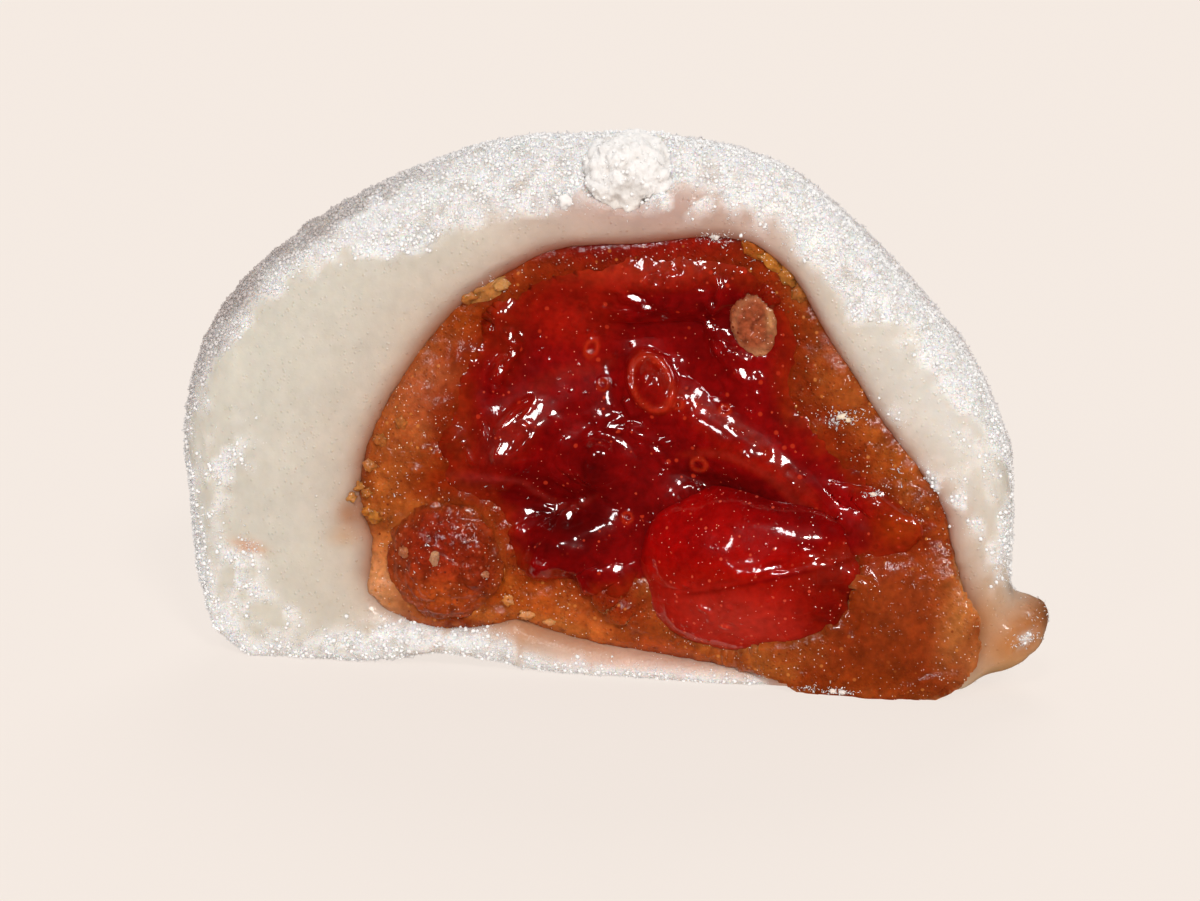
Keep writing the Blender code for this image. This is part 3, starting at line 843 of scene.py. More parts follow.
# Patches of colour on the dough: x, z, half length, half width, turn, colour, strength.
DOUGH_PATCHES = (
    (-18.0, 14.0, 7.0, 9.0, 0, "#d8cbbb", 0.6),
    (-21.0, 18.0, 6.0, 5.0, 45, "#ddd1c0", 0.5),
    (-18.0, 4.0, 6.0, 4.0, 0, "#d9ccba", 0.6),
    (19.0, 17.0, 4.0, 6.0, 30, "#e4d8cc", 0.8),
    (2.0, 28.8, 7.5, 2.0, 0, "#c9a498", 0.9),
    (4.0, 28.4, 3.5, 1.2, 0, "#bf9a92", 0.6),
    (8.5, 27.8, 3.5, 1.6, -25, "#c6a497", 0.7),
    (2.0, 0.9, 6.5, 1.1, -4, "#f0c4b4", 0.9),
    (-1.4, 2.0, 3.0, 0.7, -14, "#d2a184", 0.8),
    (-4.8, 2.8, 2.4, 1.2, 0, "#c4742c", 0.95),
    (-2.0, 2.6, 3.4, 0.7, -14, "#c06c34", 0.9),
    (4.0, 1.6, 3.0, 0.5, -5, "#d88c70", 0.7),
    (11.5, 0.4, 3.0, 0.8, 0, "#c39086", 0.8),
    (22.4, 7.6, 1.2, 3.6, 8, "#b48464", 0.4),
    (19.0, 14.6, 1.2, 4.0, 40, "#d8bca6", 0.4),
    (-21.9, 7.1, 0.9, 0.35, -10, "#cf9460", 0.8),
    (-15.6, 9.4, 0.8, 1.0, 0, "#a8642e", 0.9),
    (-15.8, 8.0, 1.0, 0.6, 0, "#c99a72", 0.7),
    (22.6, 4.6, 1.2, 2.8, -20, "#c08040", 0.9),
    (24.6, 3.2, 2.8, 2.2, 35, "#c0762f", 0.97),
    (24.0, 1.2, 2.0, 0.8, 20, "#c48a48", 0.9),
    (25.8, 4.4, 1.8, 1.5, 45, "#b4682a", 0.95),
    (26.4, 4.8, 0.6, 1.2, 30, "#8e4c1e", 0.8),
)

DOUGH_GAIN = (0.93, 1.015, 1.08)  # the light and the depth of the dough warm its colour by so much


def dough_tint(points, normals):
    bare = plain("#d9cbba", points)
    by_cut = ramp(points[:, 1], CUT_Y + 8, CUT_Y + 5)
    colours = over(bare, blended(bare, DOUGH_PATCHES, points), by_cut) * DOUGH_GAIN
    front = ramp(points[:, 1], CUT_Y + 4, CUT_Y + 2)
    to_paste = near(by_paste, points)
    # Painted shade where the dough's face curves in toward the paste, with the paste's colour showing through,
    # weaker on the right.
    shade_by_paste = 0.7 - 0.35 * ramp(points[:, 0], 8.0, 15.0)
    colours = over(colours, "#c09c84", shade_by_paste * front * np.exp(-to_paste / 2.6))
    # Brown at the paste's border: partly the paste's colour in the dough, partly painted shade along the seam,
    # weaker low down.
    brown = 0.9 * (0.2 + 0.8 * ramp(points[:, 2], 2.0, 5.0))
    colours = over(colours, "#9c5830", brown * front * bell(to_paste, 1.0))
    colours = bordered(colours, by_jam, points, 0, 1.9, "#a8564a", 0.8 * front)
    cover = starch(points)
    # The starch's white, greyed by painted shade just behind the cut's edge and on the upper left shoulder.
    dust = over(plain("#faf7f6", points), "#d6ccca", greyed(points))
    dust = over(dust, "#c4b8b4", shoulder_shade(points))
    caked = cover * smooth(0.9 + 0.7 * waves(points, 0.5, 7.0))
    colours = over(colours, dust, 0.95 * caked)
    colours = over(colours, "#cf8a50", 0.75 * front * oval(points, -21.9, 7.1, 0.95, 0.35, -10))
    dry = 0.85 * oval(points, 3.0, 1.0, 9.0, 1.6, -4)
    return with_wetness(colours, 1 - 1.3 * cover - dry)


TONGUE = (25.6, 3.8, 2.0, 2.4, 0)  # where the drawn-out dough is bumpy, as an oval
CLUMP_MIDDLE, CLUMP_REACH = np.array((1.6, CUT_Y + 0.6, 30.7)), 2.2


def dough_rise(points, normals):
    cover = starch(points)
    rise = 0.05 * waves(points, 3.0) + 0.02 * waves(points, 0.8)
    rise = rise + cover * (0.12 * waves(points, 0.55) + 0.08 * waves(points, 1.3, 2.0))
    rim = bell(near(by_paste, points), 0.7) * ramp(points[:, 1], CUT_Y + 3, CUT_Y + 1)
    rise = rise + (0.08 + 0.22 * ramp(points[:, 2], 3.0, 6.0)) * rim
    rise = rise + oval(points, *TONGUE) * (0.35 * waves(points, 1.7, 8.0) + 0.2 * waves(points, 0.7))
    return rise + 0.4 * bell(np.linalg.norm(points - CLUMP_MIDDLE, axis=1) - CLUMP_REACH, 0.9)


def rice_dough():
    bm = solids["rice_skin"]
    lip = [v for v in bm.verts if v.co.x > 20.5 and v.co.z < 8.0 and v.co.y < CUT_Y + 8]
    ease(bm, lip, 14)
    return dressed("rice_skin", dough_rise, dough_tint)


# Patches of colour on the paste. Every piece's patches have the same columns.
PASTE_PATCHES = (
    (-12.6, 13.5, 1.6, 5.0, -15, "#a45c2c", 0.6),
    (-9.4, 16.0, 1.2, 3.4, -20, "#7c2a12", 0.7),
    (-7.6, 20.2, 0.9, 2.6, -20, "#741a0a", 0.85),
    (11.2, 20.4, 0.9, 3.4, 15, "#7c1c0c", 0.7),
    (13.4, 16.6, 0.9, 1.6, 35, "#84240f", 0.7),
    (-10.2, 17.5, 3.0, 2.0, 55, "#c4704a", 0.8),
    (-8.2, 21.6, 2.2, 1.0, 45, "#9c4a18", 0.8),
    (-13.8, 9.6, 1.6, 2.0, 0, "#a5602a", 0.7),
    (-14.0, 4.8, 1.6, 2.4, 20, "#d9a274", 0.95),
    (-9.6, 11.8, 2.2, 1.0, 0, "#7c2412", 0.8),
    (2.5, 26.6, 7.5, 1.7, 4, "#7a150d", 1.0),
    (7.6, 26.4, 2.4, 1.0, -10, "#8a2c12", 0.9),
    (10.9, 25.2, 2.0, 1.0, -40, "#a35a22", 0.9),
    (10.4, 23.9, 1.2, 0.9, -40, "#841c0c", 0.9),
    (12.6, 21.8, 1.4, 2.4, 25, "#a0622e", 0.7),
    (14.0, 18.6, 2.0, 3.4, 35, "#9c5226", 0.7),
    (17.4, 14.0, 2.6, 2.6, 0, "#a0561f", 0.7),
    (15.0, 14.6, 1.8, 0.9, -50, "#8c2a12", 0.8),
    (19.6, 9.0, 1.6, 2.4, 0, "#92451f", 0.7),
    (18.4, 6.0, 3.0, 3.2, 0, "#82361e", 0.85),
    (15.4, 4.0, 1.8, 2.8, 0, "#6e160e", 0.9),
    (20.2, 2.2, 2.6, 2.4, 0, "#722814", 0.95),
    (17.4, 3.0, 4.8, 2.4, 0, "#7c2f16", 0.95),
    (16.4, 1.0, 3.0, 0.8, 0, "#86330f", 0.8),
    (21.9, 5.6, 0.9, 3.6, -15, "#c08048", 0.9),
    (23.2, 2.4, 1.0, 1.6, -20, "#cc8c58", 0.9),
    (-4.4, 4.8, 2.6, 1.4, -15, "#b85a1c", 0.95),
    (-1.0, 3.2, 3.0, 0.9, -20, "#c46a30", 0.95),
    (-2.6, 3.0, 3.0, 0.45, -14, "#c98040", 0.7),
    (3.4, 1.9, 2.4, 0.8, -10, "#b04c24", 0.9),
    (0.8, 4.9, 2.6, 0.8, -37, "#7c0a08", 0.95),
    (19.8, 1.3, 1.8, 1.3, 0, "#6c2410", 0.8),
)
# Smooth wet stretches of the paste: x, z, half length, half width, turn.
PASTE_POOLS = (
    (17.5, 3.0, 4.6, 3.4, 0),
    (17.4, 6.6, 2.6, 2.4, 0),
    (-9.0, 12.0, 3.0, 1.2, 0),
    (-8.8, 18.4, 0.7, 3.0, -20),
)
PASTE_TOP = (2.4, 26.6, 7.2, 1.7, 4)  # where the jam's red runs up to the dough
PASTE_GAIN = (1.0, 0.86, 0.74)  # evens out the warmth that the paste's depth gives it


def calm_paste(points):
    return np.clip(sum(oval(points, *pool) for pool in PASTE_POOLS), 0, 1)


def paste_rise(points, normals):
    calm = calm_paste(points)
    rough = 0.16 * (0.5 - pebbles(points, 0.95)) + 0.07 * waves(points, 0.4)
    calm = np.clip(calm + oval(points, *PASTE_TOP), 0, 1)
    knobs = 0.12 * (0.5 - pebbles(points, 0.5))
    seam = 0.35 * bell(np.minimum(near(by_lump, points), near(by_fruit, points)), 0.8)
    ragged = (0.35 * waves(points, 1.3) + 0.25 * waves(points, 0.55)) * (1 - 0.7 * calm)
    face = (rough + knobs) * (1 - 0.85 * calm) + filling_rise(points) + seam
    return facing(normals) * face + (1 - facing(normals)) * ragged + 0.05


def paste_tint(points, normals):
    colours = plain("#9a4e22", points)
    calm = calm_paste(points)
    grainy = 1 - np.clip(calm, 0, 0.8)
    colours = over(colours, "#6a1c0a", 0.8 * grainy * smooth(1.7 * waves(points, 2.0, 3.0)))
    colours = over(colours, "#bc7034", 0.5 * grainy * smooth(1.7 * waves(points, 1.1, 9.0)))
    colours = over(colours, blended(colours, PASTE_PATCHES, points), np.full(len(points), 0.8)) * PASTE_GAIN
    # Painted shade in the hollows between the grains.
    colours = over(colours, "#6a1c0c", 0.35 * grainy * ramp(pebbles(points, 0.95), 0.6, 0.9))
    ragged = 0.7 * waves(points, 1.4) + 0.4 * waves(points, 0.5)
    colours = bordered(colours, by_jam, points, ragged, 1.2, "#7c180a", 0.85)
    colours = bordered(colours, by_jam, points, ragged, 2.6, "#8a300f", 0.4)
    # Painted light on the paste's side walls by the cut, lifting their shade to a pale amber.
    soaked_and_side_light = (1 - facing(normals)) * ramp(points[:, 1], CUT_Y + 4, CUT_Y + 2)
    colours = over(colours, "#bf8050", 0.7 * soaked_and_side_light)
    red = oval(points, *PASTE_TOP)
    colours = over(colours, "#861a10", np.clip(1.3 * red, 0, 1))
    return with_wetness(under_gloss(colours), 0.15 + 0.8 * calm + 0.6 * red)


JAM_PATCHES = (
    (2.4, 26.4, 7.5, 0.8, 4, "#8a1c12", 0.8),
    (2.6, 24.9, 6.4, 1.1, 4, "#a02a1c", 0.9),
    (3.6, 21.8, 4.4, 1.1, 0, "#6a0805", 0.8),
    (-1.8, 21.8, 3.0, 2.4, 0, "#9e1d13", 0.85),
    (-5.8, 20.4, 1.2, 3.2, 0, "#7c1d12", 0.7),
    (-1.0, 17.8, 3.6, 2.4, 0, "#7a0a06", 0.6),
    (3.0, 17.8, 2.2, 2.4, 0, "#8a150d", 0.6),
    (-4.0, 17.0, 2.6, 1.6, 30, "#820f09", 0.6),
    (-5.8, 14.4, 2.2, 1.4, 45, "#862620", 0.6),
    (-8.6, 15.0, 1.0, 3.0, 0, "#8a2a14", 0.7),
    (-7.8, 11.6, 2.8, 0.8, -4, "#6a1a14", 0.85),
    (-3.4, 11.7, 2.0, 0.7, -10, "#680404", 0.9),
    # The next two rows are the smooth pool: its dark red with a little painted reflection in it.
    (-3.0, 9.6, 3.2, 0.9, -20, "#4e0a09", 0.95),
    (-0.4, 9.8, 1.4, 1.8, 0, "#4e0a09", 0.9),
    (-3.0, 8.0, 2.2, 0.5, 0, "#520604", 0.9),
    (-0.2, 13.0, 1.3, 1.3, 0, "#4c0504", 0.8),
    (-1.4, 6.6, 2.4, 1.0, -20, "#6c0a05", 0.8),
    (1.6, 6.2, 1.2, 2.6, 30, "#7c0a06", 0.8),
    (2.6, 11.4, 2.0, 1.8, 0, "#6a0606", 0.8),
    # Painted shade in the hollow between the film and the fruit.
    (8.4, 11.9, 4.4, 0.9, -14, "#560504", 0.95),
    (9.6, 15.8, 2.6, 1.6, -40, "#860d05", 0.7),
    (7.0, 15.2, 3.8, 0.7, -32, "#88160f", 0.8),
    (12.0, 12.0, 3.0, 0.7, -42, "#8c1a12", 0.85),
    (11.0, 18.4, 1.0, 3.0, 10, "#86200f", 0.7),
    (14.8, 11.0, 2.0, 0.9, -10, "#920f06", 0.95),
    (18.4, 10.4, 1.8, 1.2, 10, "#9e3812", 0.9),
    (8.6, 8.4, 6.0, 1.2, 0, "#5c0806", 0.6),
)
# Thin lines of colour in the jam: marks, width, colour, strength.
JAM_LINES = (
    (((1.4, 20.2), (4.4, 17.6), (8.6, 15.5), (11.3, 13.1), (13.5, 11.3)), 0.3, "#96281e", 0.4),
    (((3.8, 13.6), (7.2, 14.1), (10.1, 13.0), (12.5, 10.9), (15.2, 9.6)), 0.3, "#92281e", 0.45),
    (((-11.2, 11.9), (-5.6, 12.0), (-3.8, 10.9), (-2.1, 10.1), (0.3, 11.6)), 0.25, "#842420", 0.6),
    (((-4.7, 17.2), (-2.8, 18.3), (-0.9, 18.7), (1.0, 19.4)), 0.5, "#861c16", 0.5),
)
# Smooth wet stretches of the jam.
JAM_POOLS = (
    (-3.4, 10.2, 4.4, 1.4, -12),
    (9.6, 12.8, 5.0, 1.2, -38),
    (-5.2, 13.6, 2.6, 1.5, 45),
    (-0.2, 13.3, 1.2, 1.0, 0),
)
FILM = (9.8, 13.4, 5.0, 1.5, -38)  # the skin over the jam, drawn smooth by the knife


def jam_rise(points, normals):
    ragged = (0.45 * waves(points, 1.6, 4.0) + 0.25 * waves(points, 0.6)) * (1 - facing(normals))
    top = 0.7 * ramp(points[:, 2], 23.0, 25.5) * (1 - facing(normals))
    seam = 0.3 * bell(near(by_fruit, points), 0.7)
    return facing(normals) * (0.12 * waves(points, 1.7) + filling_rise(points) + seam) + ragged + top


def jam_tint(points, normals):
    colours = blended(plain("#780a06", points), JAM_PATCHES, points)
    for marks, width, colour, strength in JAM_LINES:
        colours = over(colours, colour, strength * fold(points, marks, width))
    for bubble in BUBBLES:
        colours = over(colours, "#b02f1a", 0.75 * ring(points, *bubble[:6]))
    ragged = 0.5 * waves(points, 1.4) + 0.3 * waves(points, 0.5)
    colours = bordered(colours, by_paste, points, ragged, 0.8, "#8e2a12", 0.6)
    calm = sum(oval(points, *pool) for pool in JAM_POOLS)
    calm = calm + fold(points, FOLDS["run"][0], 0.8, 0.6)
    return with_wetness(under_gloss(colours), 0.1 + 1.0 * calm)


def red_jam():
    bm = solids["red_jam"]
    points, _ = read(bm)
    in_film = (points[:, 1] < CUT_Y + 2) & (oval(points, *FILM) > 0.35)
    ease(bm, [vert for vert, chosen in zip(bm.verts, in_film) if chosen], 25)
    return dressed("red_jam", jam_rise, jam_tint, side=0.6, front=0.16, glints=GLINTS)


FRUIT_PATCHES = (
    (5.0, 9.6, 3.0, 2.4, 10, "#960e09", 0.7),
    # Painted shade along the fruit's top edge, in the hollow under the film.
    (11.0, 11.2, 5.0, 0.8, -18, "#640705", 0.9),
    (12.6, 9.6, 3.0, 0.9, -20, "#7c0c07", 0.8),
    (8.6, 4.2, 4.4, 2.0, -5, "#b43226", 0.9),
    (14.8, 5.0, 2.0, 2.6, 0, "#661309", 0.9),
    (14.0, 7.4, 2.2, 0.9, 10, "#7c1c14", 0.8),
    (15.2, 8.6, 2.0, 0.8, 20, "#8e2418", 0.7),
    (4.2, 4.6, 1.6, 1.6, 0, "#9c1d14", 0.7),
    (3.2, 3.4, 0.7, 2.0, 20, "#a83c34", 0.6),
    (11.0, 2.4, 3.0, 0.8, 0, "#9c1a10", 0.6),
)


def fruit_rise(points, normals):
    return facing(normals) * (0.06 * waves(points, 1.2) + filling_rise(points))


def fruit_tint(points, normals):
    colours = blended(plain("#98110b", points), FRUIT_PATCHES, points)
    # Painted shade in the crease, under the upper lobe's lip.
    colours = over(colours, "#5a0705", 0.5 * fold(points, FOLDS["crease"][0], 0.12, 0.16))
    colours = over(colours, "#b04c42", 0.45 * fold(points, FOLDS["fruit rim"][0], 0.18))
    ragged = 0.3 * waves(points, 1.0)
    colours = bordered(colours, by_jam, points, ragged, 0.7, "#7c0907", 0.6)
    colours = bordered(colours, by_paste, points, ragged, 0.6, "#8e2216", 0.6)
    return with_wetness(under_gloss(colours), 0.3 + 0.5 * waves(points, 2.0))


LUMP_PATCHES = (
    (-9.6, 4.6, 3.0, 1.4, 0, "#a84a1c", 0.9),
    (-9.8, 8.2, 2.2, 1.6, 0, "#82200f", 0.7),
    (-12.4, 6.4, 0.9, 2.2, 0, "#8e3a1c", 0.8),
    (-6.9, 5.8, 1.0, 2.4, 0, "#7c2510", 0.8),
)


def lump_rise(points, normals):
    rough = 0.16 * (0.5 - pebbles(points, 0.7)) + 0.12 * (0.5 - pebbles(points, 0.4))
    rough = rough + 0.08 * waves(points, 0.35)
    return rough + facing(normals) * filling_rise(points) + 0.45 * (1 - facing(normals)) * waves(points, 1.8)


def lump_tint(points, normals):
    colours = blended(plain("#8a2a14", points), LUMP_PATCHES, points)
    # Painted shade in the hollows between the grains.
    colours = over(colours, "#5a160a", 0.5 * ramp(pebbles(points, 0.7), 0.5, 0.9))
    ragged = 0.4 * waves(points, 1.0)
    colours = bordered(colours, by_jam, points, ragged, 0.8, "#6c160c", 0.6)
    colours = bordered(colours, by_paste, points, ragged, 0.9, "#8a3f18", 0.7)
    return with_wetness(under_gloss(colours), 0.2)


def chip_rise(points, normals):
    grain = 0.10 * (0.5 - pebbles(points, 0.45)) + 0.05 * waves(points, 0.3)
    return grain + 0.12 * oval(points, 10.0, 22.2, 0.3, 0.9, 0)


def chip_tint(points, normals):
    colours = plain("#984a2c", points)
    # Painted shade in the hollows between the grains.
    colours = over(colours, "#5c2010", 0.6 * ramp(pebbles(points, 0.45), 0.5, 0.9))
    colours = over(colours, "#c08a5a", 0.9 * oval(points, 10.1, 22.2, 0.3, 0.9, 0))
    colours = over(colours, "#b98058", 0.8 * oval(points, 9.3, 20.1, 0.7, 0.25, 0))
    colours = over(colours, "#a86a48", 0.6 * ring(points, 9.1, 21.8, 1.7, 1.2, 78, 0.2))
    return with_wetness(colours, 0.2)


def clump_rise(points, normals):
    knobs = 0.45 * (0.45 - pebbles(points, 0.9)) + 0.22 * (0.45 - pebbles(points, 0.4))
    return 0.25 + knobs + 0.08 * waves(points, 0.2) + 0.25 * waves(points, 1.6)


def clump_tint(points, normals):
    colours = over(plain("#f1efee", points), "#f6f1ec", ramp(points[:, 2], 30.2, 28.6))
    # Painted shade in the crevices between the knobs.
    colours = over(colours, "#cbc4be", 0.6 * ramp(pebbles(points, 0.9), 0.5, 0.95))
    return with_wetness(colours, 0.0)


# Scattered pieces.
def sprinkled(bm, density):
    """Points and normals over the faces, so many per square mm as density(points, normals) says."""
    middles = np.array([face.calc_center_median() for face in bm.faces])
    normals = np.array([face.normal for face in bm.faces])
    areas = np.array([face.calc_area() for face in bm.faces])
    counts = draws.poisson(areas * density(middles, normals))
    found = np.repeat(np.arange(len(areas)), counts)
    spread = np.sqrt(areas[found])[:, None] * draws.uniform(-0.5, 0.5, (len(found), 3))
    points = middles[found] + spread
    sunk = ((points - middles[found]) * normals[found]).sum(1)
    return points - normals[found] * sunk[:, None], normals[found]


def solid_arrays(bm):
    bmesh.ops.triangulate(bm, faces=bm.faces)
    bm.verts.index_update()
    points = np.array([vert.co for vert in bm.verts])
    corners = np.array([[vert.index for vert in face.verts] for face in bm.faces])
    bm.free()
    return points, corners


def grain_shapes(count, roughness):
    """A few irregular grains of about unit radius."""
    shapes = []
    for _ in range(count):
        bm = bmesh.new()
        bmesh.ops.create_icosphere(bm, subdivisions=1, radius=1.0)
        for vert in bm.verts:
            vert.co *= 1 + roughness * chance.uniform(-1, 1)
        shapes.append(solid_arrays(bm))
    return shapes


def shard_shapes(count):
    """Thin three-sided splinters of about unit length."""
    shapes = []
    for _ in range(count):
        bm = bmesh.new()
        thick, length = chance.uniform(0.22, 0.42), chance.uniform(1.4, 2.2)
        bmesh.ops.create_cone(bm, cap_ends=True, segments=3, radius1=thick, radius2=0.0, depth=length)
        for vert in bm.verts:
            vert.co += Vector([chance.uniform(-0.12, 0.12) for _ in range(3)])
        shapes.append(solid_arrays(bm))
    return shapes


def loose_turns(count):
    """Random turns, as 3 by 3 arrays."""
    w, x, y, z = draws.normal(size=(count, 4)).T
    size = np.sqrt(w * w + x * x + y * y + z * z)
    w, x, y, z = w / size, x / size, y / size, z / size
    rows = (
        (1 - 2 * (y * y + z * z), 2 * (x * y - z * w), 2 * (x * z + y * w)),
        (2 * (x * y + z * w), 1 - 2 * (x * x + z * z), 2 * (y * z - x * w)),
        (2 * (x * z - y * w), 2 * (y * z + x * w), 1 - 2 * (x * x + y * y)),
    )
    return np.moveaxis(np.array(rows), 2, 0)


def gathered(name, points, corners, colours, material):
    """One piece of many small shapes, from lists of their points, their faces and their colours."""
    mesh = bpy.data.meshes.new(name)
    mesh.from_pydata((np.concatenate(points) * MM).tolist(), [], np.concatenate(corners).tolist())
    layer = mesh.attributes.new("tint", "FLOAT_COLOR", "POINT")
    layer.data.foreach_set("color", np.concatenate(colours).astype(np.float32).ravel())
    return placed(name, mesh, material)


def strewn(name, shapes, points, sizes, colours, material):
    """One mesh of grains of these sizes at these points, turned at random."""
    kinds = draws.integers(len(shapes), size=len(points))
    turns = loose_turns(len(points))
    all_points, all_corners, all_colours, total = [], [], [], 0
    for kind, (shape, corners) in enumerate(shapes):
        chosen = np.flatnonzero(kinds == kind)
        placed_points = np.einsum("nij,kj->nki", turns[chosen], shape) * sizes[chosen, None, None]
        placed_points += points[chosen][:, None]
        all_points.append(placed_points.reshape(-1, 3))
        starts = total + np.arange(len(chosen)) * len(shape)
        all_corners.append((starts[:, None, None] + corners).reshape(-1, 3))
        all_colours.append(np.repeat(colours[chosen], len(shape), axis=0))
        total += len(chosen) * len(shape)
    return gathered(name, all_points, all_corners, all_colours, material)


def starch_colours(points):
    # Each grain's white, greyed by painted shade behind the cut's edge and on the upper left shoulder, and a
    # little at random.
    shade = greyed(points) + 0.12 * draws.uniform(size=len(points))
    colours = over(plain("#ffffff", points), "#d3c9c8", shade)
    return with_wetness(over(colours, "#b8aba7", shoulder_shade(points)), 0.0)


def above_table(points, sizes):
    return points[:, 2] > 0.9 * sizes


# Grains of starch a square mm: where it lies thickest by the cut, on the clump, and over the dome behind.
FROST_BY_CUT, FROST_ON_CLUMP, FROST_BEHIND = 140.0, 16.0, 17.0
DOME_MIDDLE = np.array((0.0, -8.0, 12.0))


def frost_by_cut(points, normals):
    return FROST_BY_CUT * starch(points) ** 1.4 * ramp(points[:, 1], CUT_Y + 7, CUT_Y + 2)


def frost_on_clump(points, normals):
    return np.where(normals[:, 1] < 0.4, FROST_ON_CLUMP, 0.0)


def frost_behind(points, normals):
    outward = (normals * (points - DOME_MIDDLE)).sum(1) > 0
    return FROST_BEHIND * outward * ramp(points[:, 1], CUT_Y + 2, CUT_Y + 6)


def starch_grains(dough, clump):
    """Starch caked on the dough and the clump, in front by size of grain, and over the dome behind.

    Each lot of frost has its pieces' names, its places, and its smallest and largest grain in mm.
    """
    shards, lumps = shard_shapes(12), grain_shapes(10, 0.35)
    front = sprinkled(dough, frost_by_cut)
    knobs = sprinkled(clump, frost_on_clump)
    front = [np.concatenate(pair) for pair in zip(front, knobs)]
    behind = sprinkled(dough, frost_behind)
    for kinds, (points, normals), low, high in (
        (("starch_dust", "starch_frost", "starch_needles"), front, 0.035, 0.11),
        (("starch_frost_behind",), behind, 0.08, 0.17),
    ):
        sizes = draws.uniform(low, high, len(points)) * draws.uniform(0.6, 1.2, len(points))
        limits = np.quantile(sizes, np.arange(len(kinds) + 1) / len(kinds))
        for name, smallest, largest in zip(kinds, limits, limits[1:]):
            kept = above_table(points, sizes) & (sizes >= smallest) & (sizes <= largest)
            lifted = points[kept] + normals[kept] * (0.4 * sizes[kept])[:, None]
            strewn(name, shards, lifted, sizes[kept], starch_colours(points[kept]), starch_look)
    points, normals = front
    sizes = draws.uniform(0.06, 0.14, len(points))
    kept = above_table(points, sizes) & (draws.uniform(size=len(points)) < 0.06)
    points, normals, sizes = points[kept], normals[kept], sizes[kept]
    lifted = points + normals * (0.3 * sizes)[:, None]
    strewn("starch_crumbs", lumps, lifted, sizes, starch_colours(points), starch_look)


# Pinches of starch that fell on the cut: x, z, how far they spread across and up, how many grains.
PINCHES = (
    (-6.7, 23.6, 0.35, 0.25, 60),
    (14.5, 16.6, 0.6, 0.22, 90),
    (14.0, 16.2, 0.25, 0.2, 30),
    (16.4, 12.1, 0.3, 0.14, 40),
    (17.6, 13.4, 0.4, 0.4, 14),
    (14.6, 0.25, 0.5, 0.16, 80),
    (12.8, 0.35, 0.5, 0.12, 30),
    (25.3, 3.5, 0.5, 0.25, 60),
    (26.0, 4.6, 0.3, 0.4, 20),
    (6.9, 26.9, 0.7, 0.25, 60),
    (9.4, 26.0, 0.5, 0.3, 20),
    (-2.1, 28.9, 0.25, 0.25, 60),
    (-9.5, 9.0, 2.4, 2.0, 24),
)


def pinches(surfaces):
    shards = shard_shapes(8)
    found = []
    for x, z, across, up, count in PINCHES:
        for right, rise in draws.normal(size=(count, 2)) * (across, up) + (x, z):
            ground = ground_at(surfaces, right, rise)
            if ground is not None and rise > 0.15:
                found.append((right, ground - 0.03, rise))
    points = np.array(found)
    sizes = draws.uniform(0.05, 0.14, len(points))
    strewn("starch_pinches", shards, points, sizes, starch_colours(points), starch_look)


def ground_at(surfaces, x, z):
    """The y of whichever surface shows at this place on the cut."""
    hits = (surface.ray_cast(Vector((x, -30.0, z)), Vector((0, 1, 0)))[0] for surface in surfaces)
    return min((hit.y for hit in hits if hit), default=None)


# Bits of paste that lie on the cut: x, z, half sizes across, out and up, turn, colour.
PASTE_BITS = (
    (-7.3, 23.3, 1.25, 0.45, 0.6, 18, "#b8763c"),
    (-6.2, 23.6, 0.6, 0.4, 0.4, 10, "#c48a50"),
    (-8.2, 22.9, 0.5, 0.4, 0.4, 0, "#b06c34"),
    (-15.5, 10.4, 0.35, 0.35, 0.32, 0, "#b57a42"),
    (-15.0, 11.0, 0.4, 0.35, 0.35, 0, "#b4743a"),
    (-14.5, 10.7, 0.35, 0.35, 0.3, 0, "#ac6830"),
    (-14.0, 9.2, 0.42, 0.4, 0.4, 0, "#b9722e"),
    (-14.5, 9.5, 0.35, 0.3, 0.3, 0, "#b56a28"),
    (-14.3, 12.4, 0.4, 0.35, 0.4, 0, "#a8642e"),
    (-13.6, 14.0, 0.45, 0.35, 0.4, 0, "#a25c2a"),
    (-12.2, 15.2, 0.4, 0.3, 0.4, 0, "#a25c2a"),
    (9.0, 26.3, 0.7, 0.4, 0.45, -30, "#a8561c"),
    (10.0, 25.6, 0.8, 0.4, 0.4, -35, "#b5702c"),
    (11.0, 24.8, 0.6, 0.4, 0.5, -50, "#a8682c"),
    (11.7, 23.8, 0.5, 0.35, 0.6, 0, "#9c5a28"),
    (-5.7, 4.4, 0.4, 0.3, 0.35, 0, "#c0763a"),
    (-4.6, 3.6, 0.5, 0.3, 0.3, 0, "#c98450"),
    (-3.2, 3.2, 0.4, 0.25, 0.25, 0, "#cd8c58"),
    (-9.9, 7.2, 0.3, 0.3, 0.45, 0, "#bf8a68"),
    (-11.9, 7.4, 0.35, 0.3, 0.4, 20, "#a8623e"),
    (-7.0, 6.2, 0.3, 0.25, 0.2, 0, "#a86a4c"),
)
# Bits of starch, with the same columns.
STARCH_BITS = (
    (-6.7, 23.7, 0.22, 0.2, 0.22, 0, "#f2ece6"),
    (-2.1, 28.9, 0.45, 0.35, 0.42, 10, "#f4f0ee"),
    (14.4, 16.6, 0.32, 0.18, 0.18, 20, "#f0dcc4"),
    (14.8, 16.4, 0.18, 0.15, 0.14, 0, "#ecd2b4"),
    (16.4, 12.1, 0.2, 0.14, 0.12, -20, "#f0dccc"),
    (14.3, 0.3, 0.2, 0.18, 0.14, 0, "#efe0d6"),
    (14.9, 0.3, 0.24, 0.18, 0.14, 0, "#f4ece6"),
    (6.8, 27.0, 0.3, 0.2, 0.2, 20, "#f0e6e0"),
)


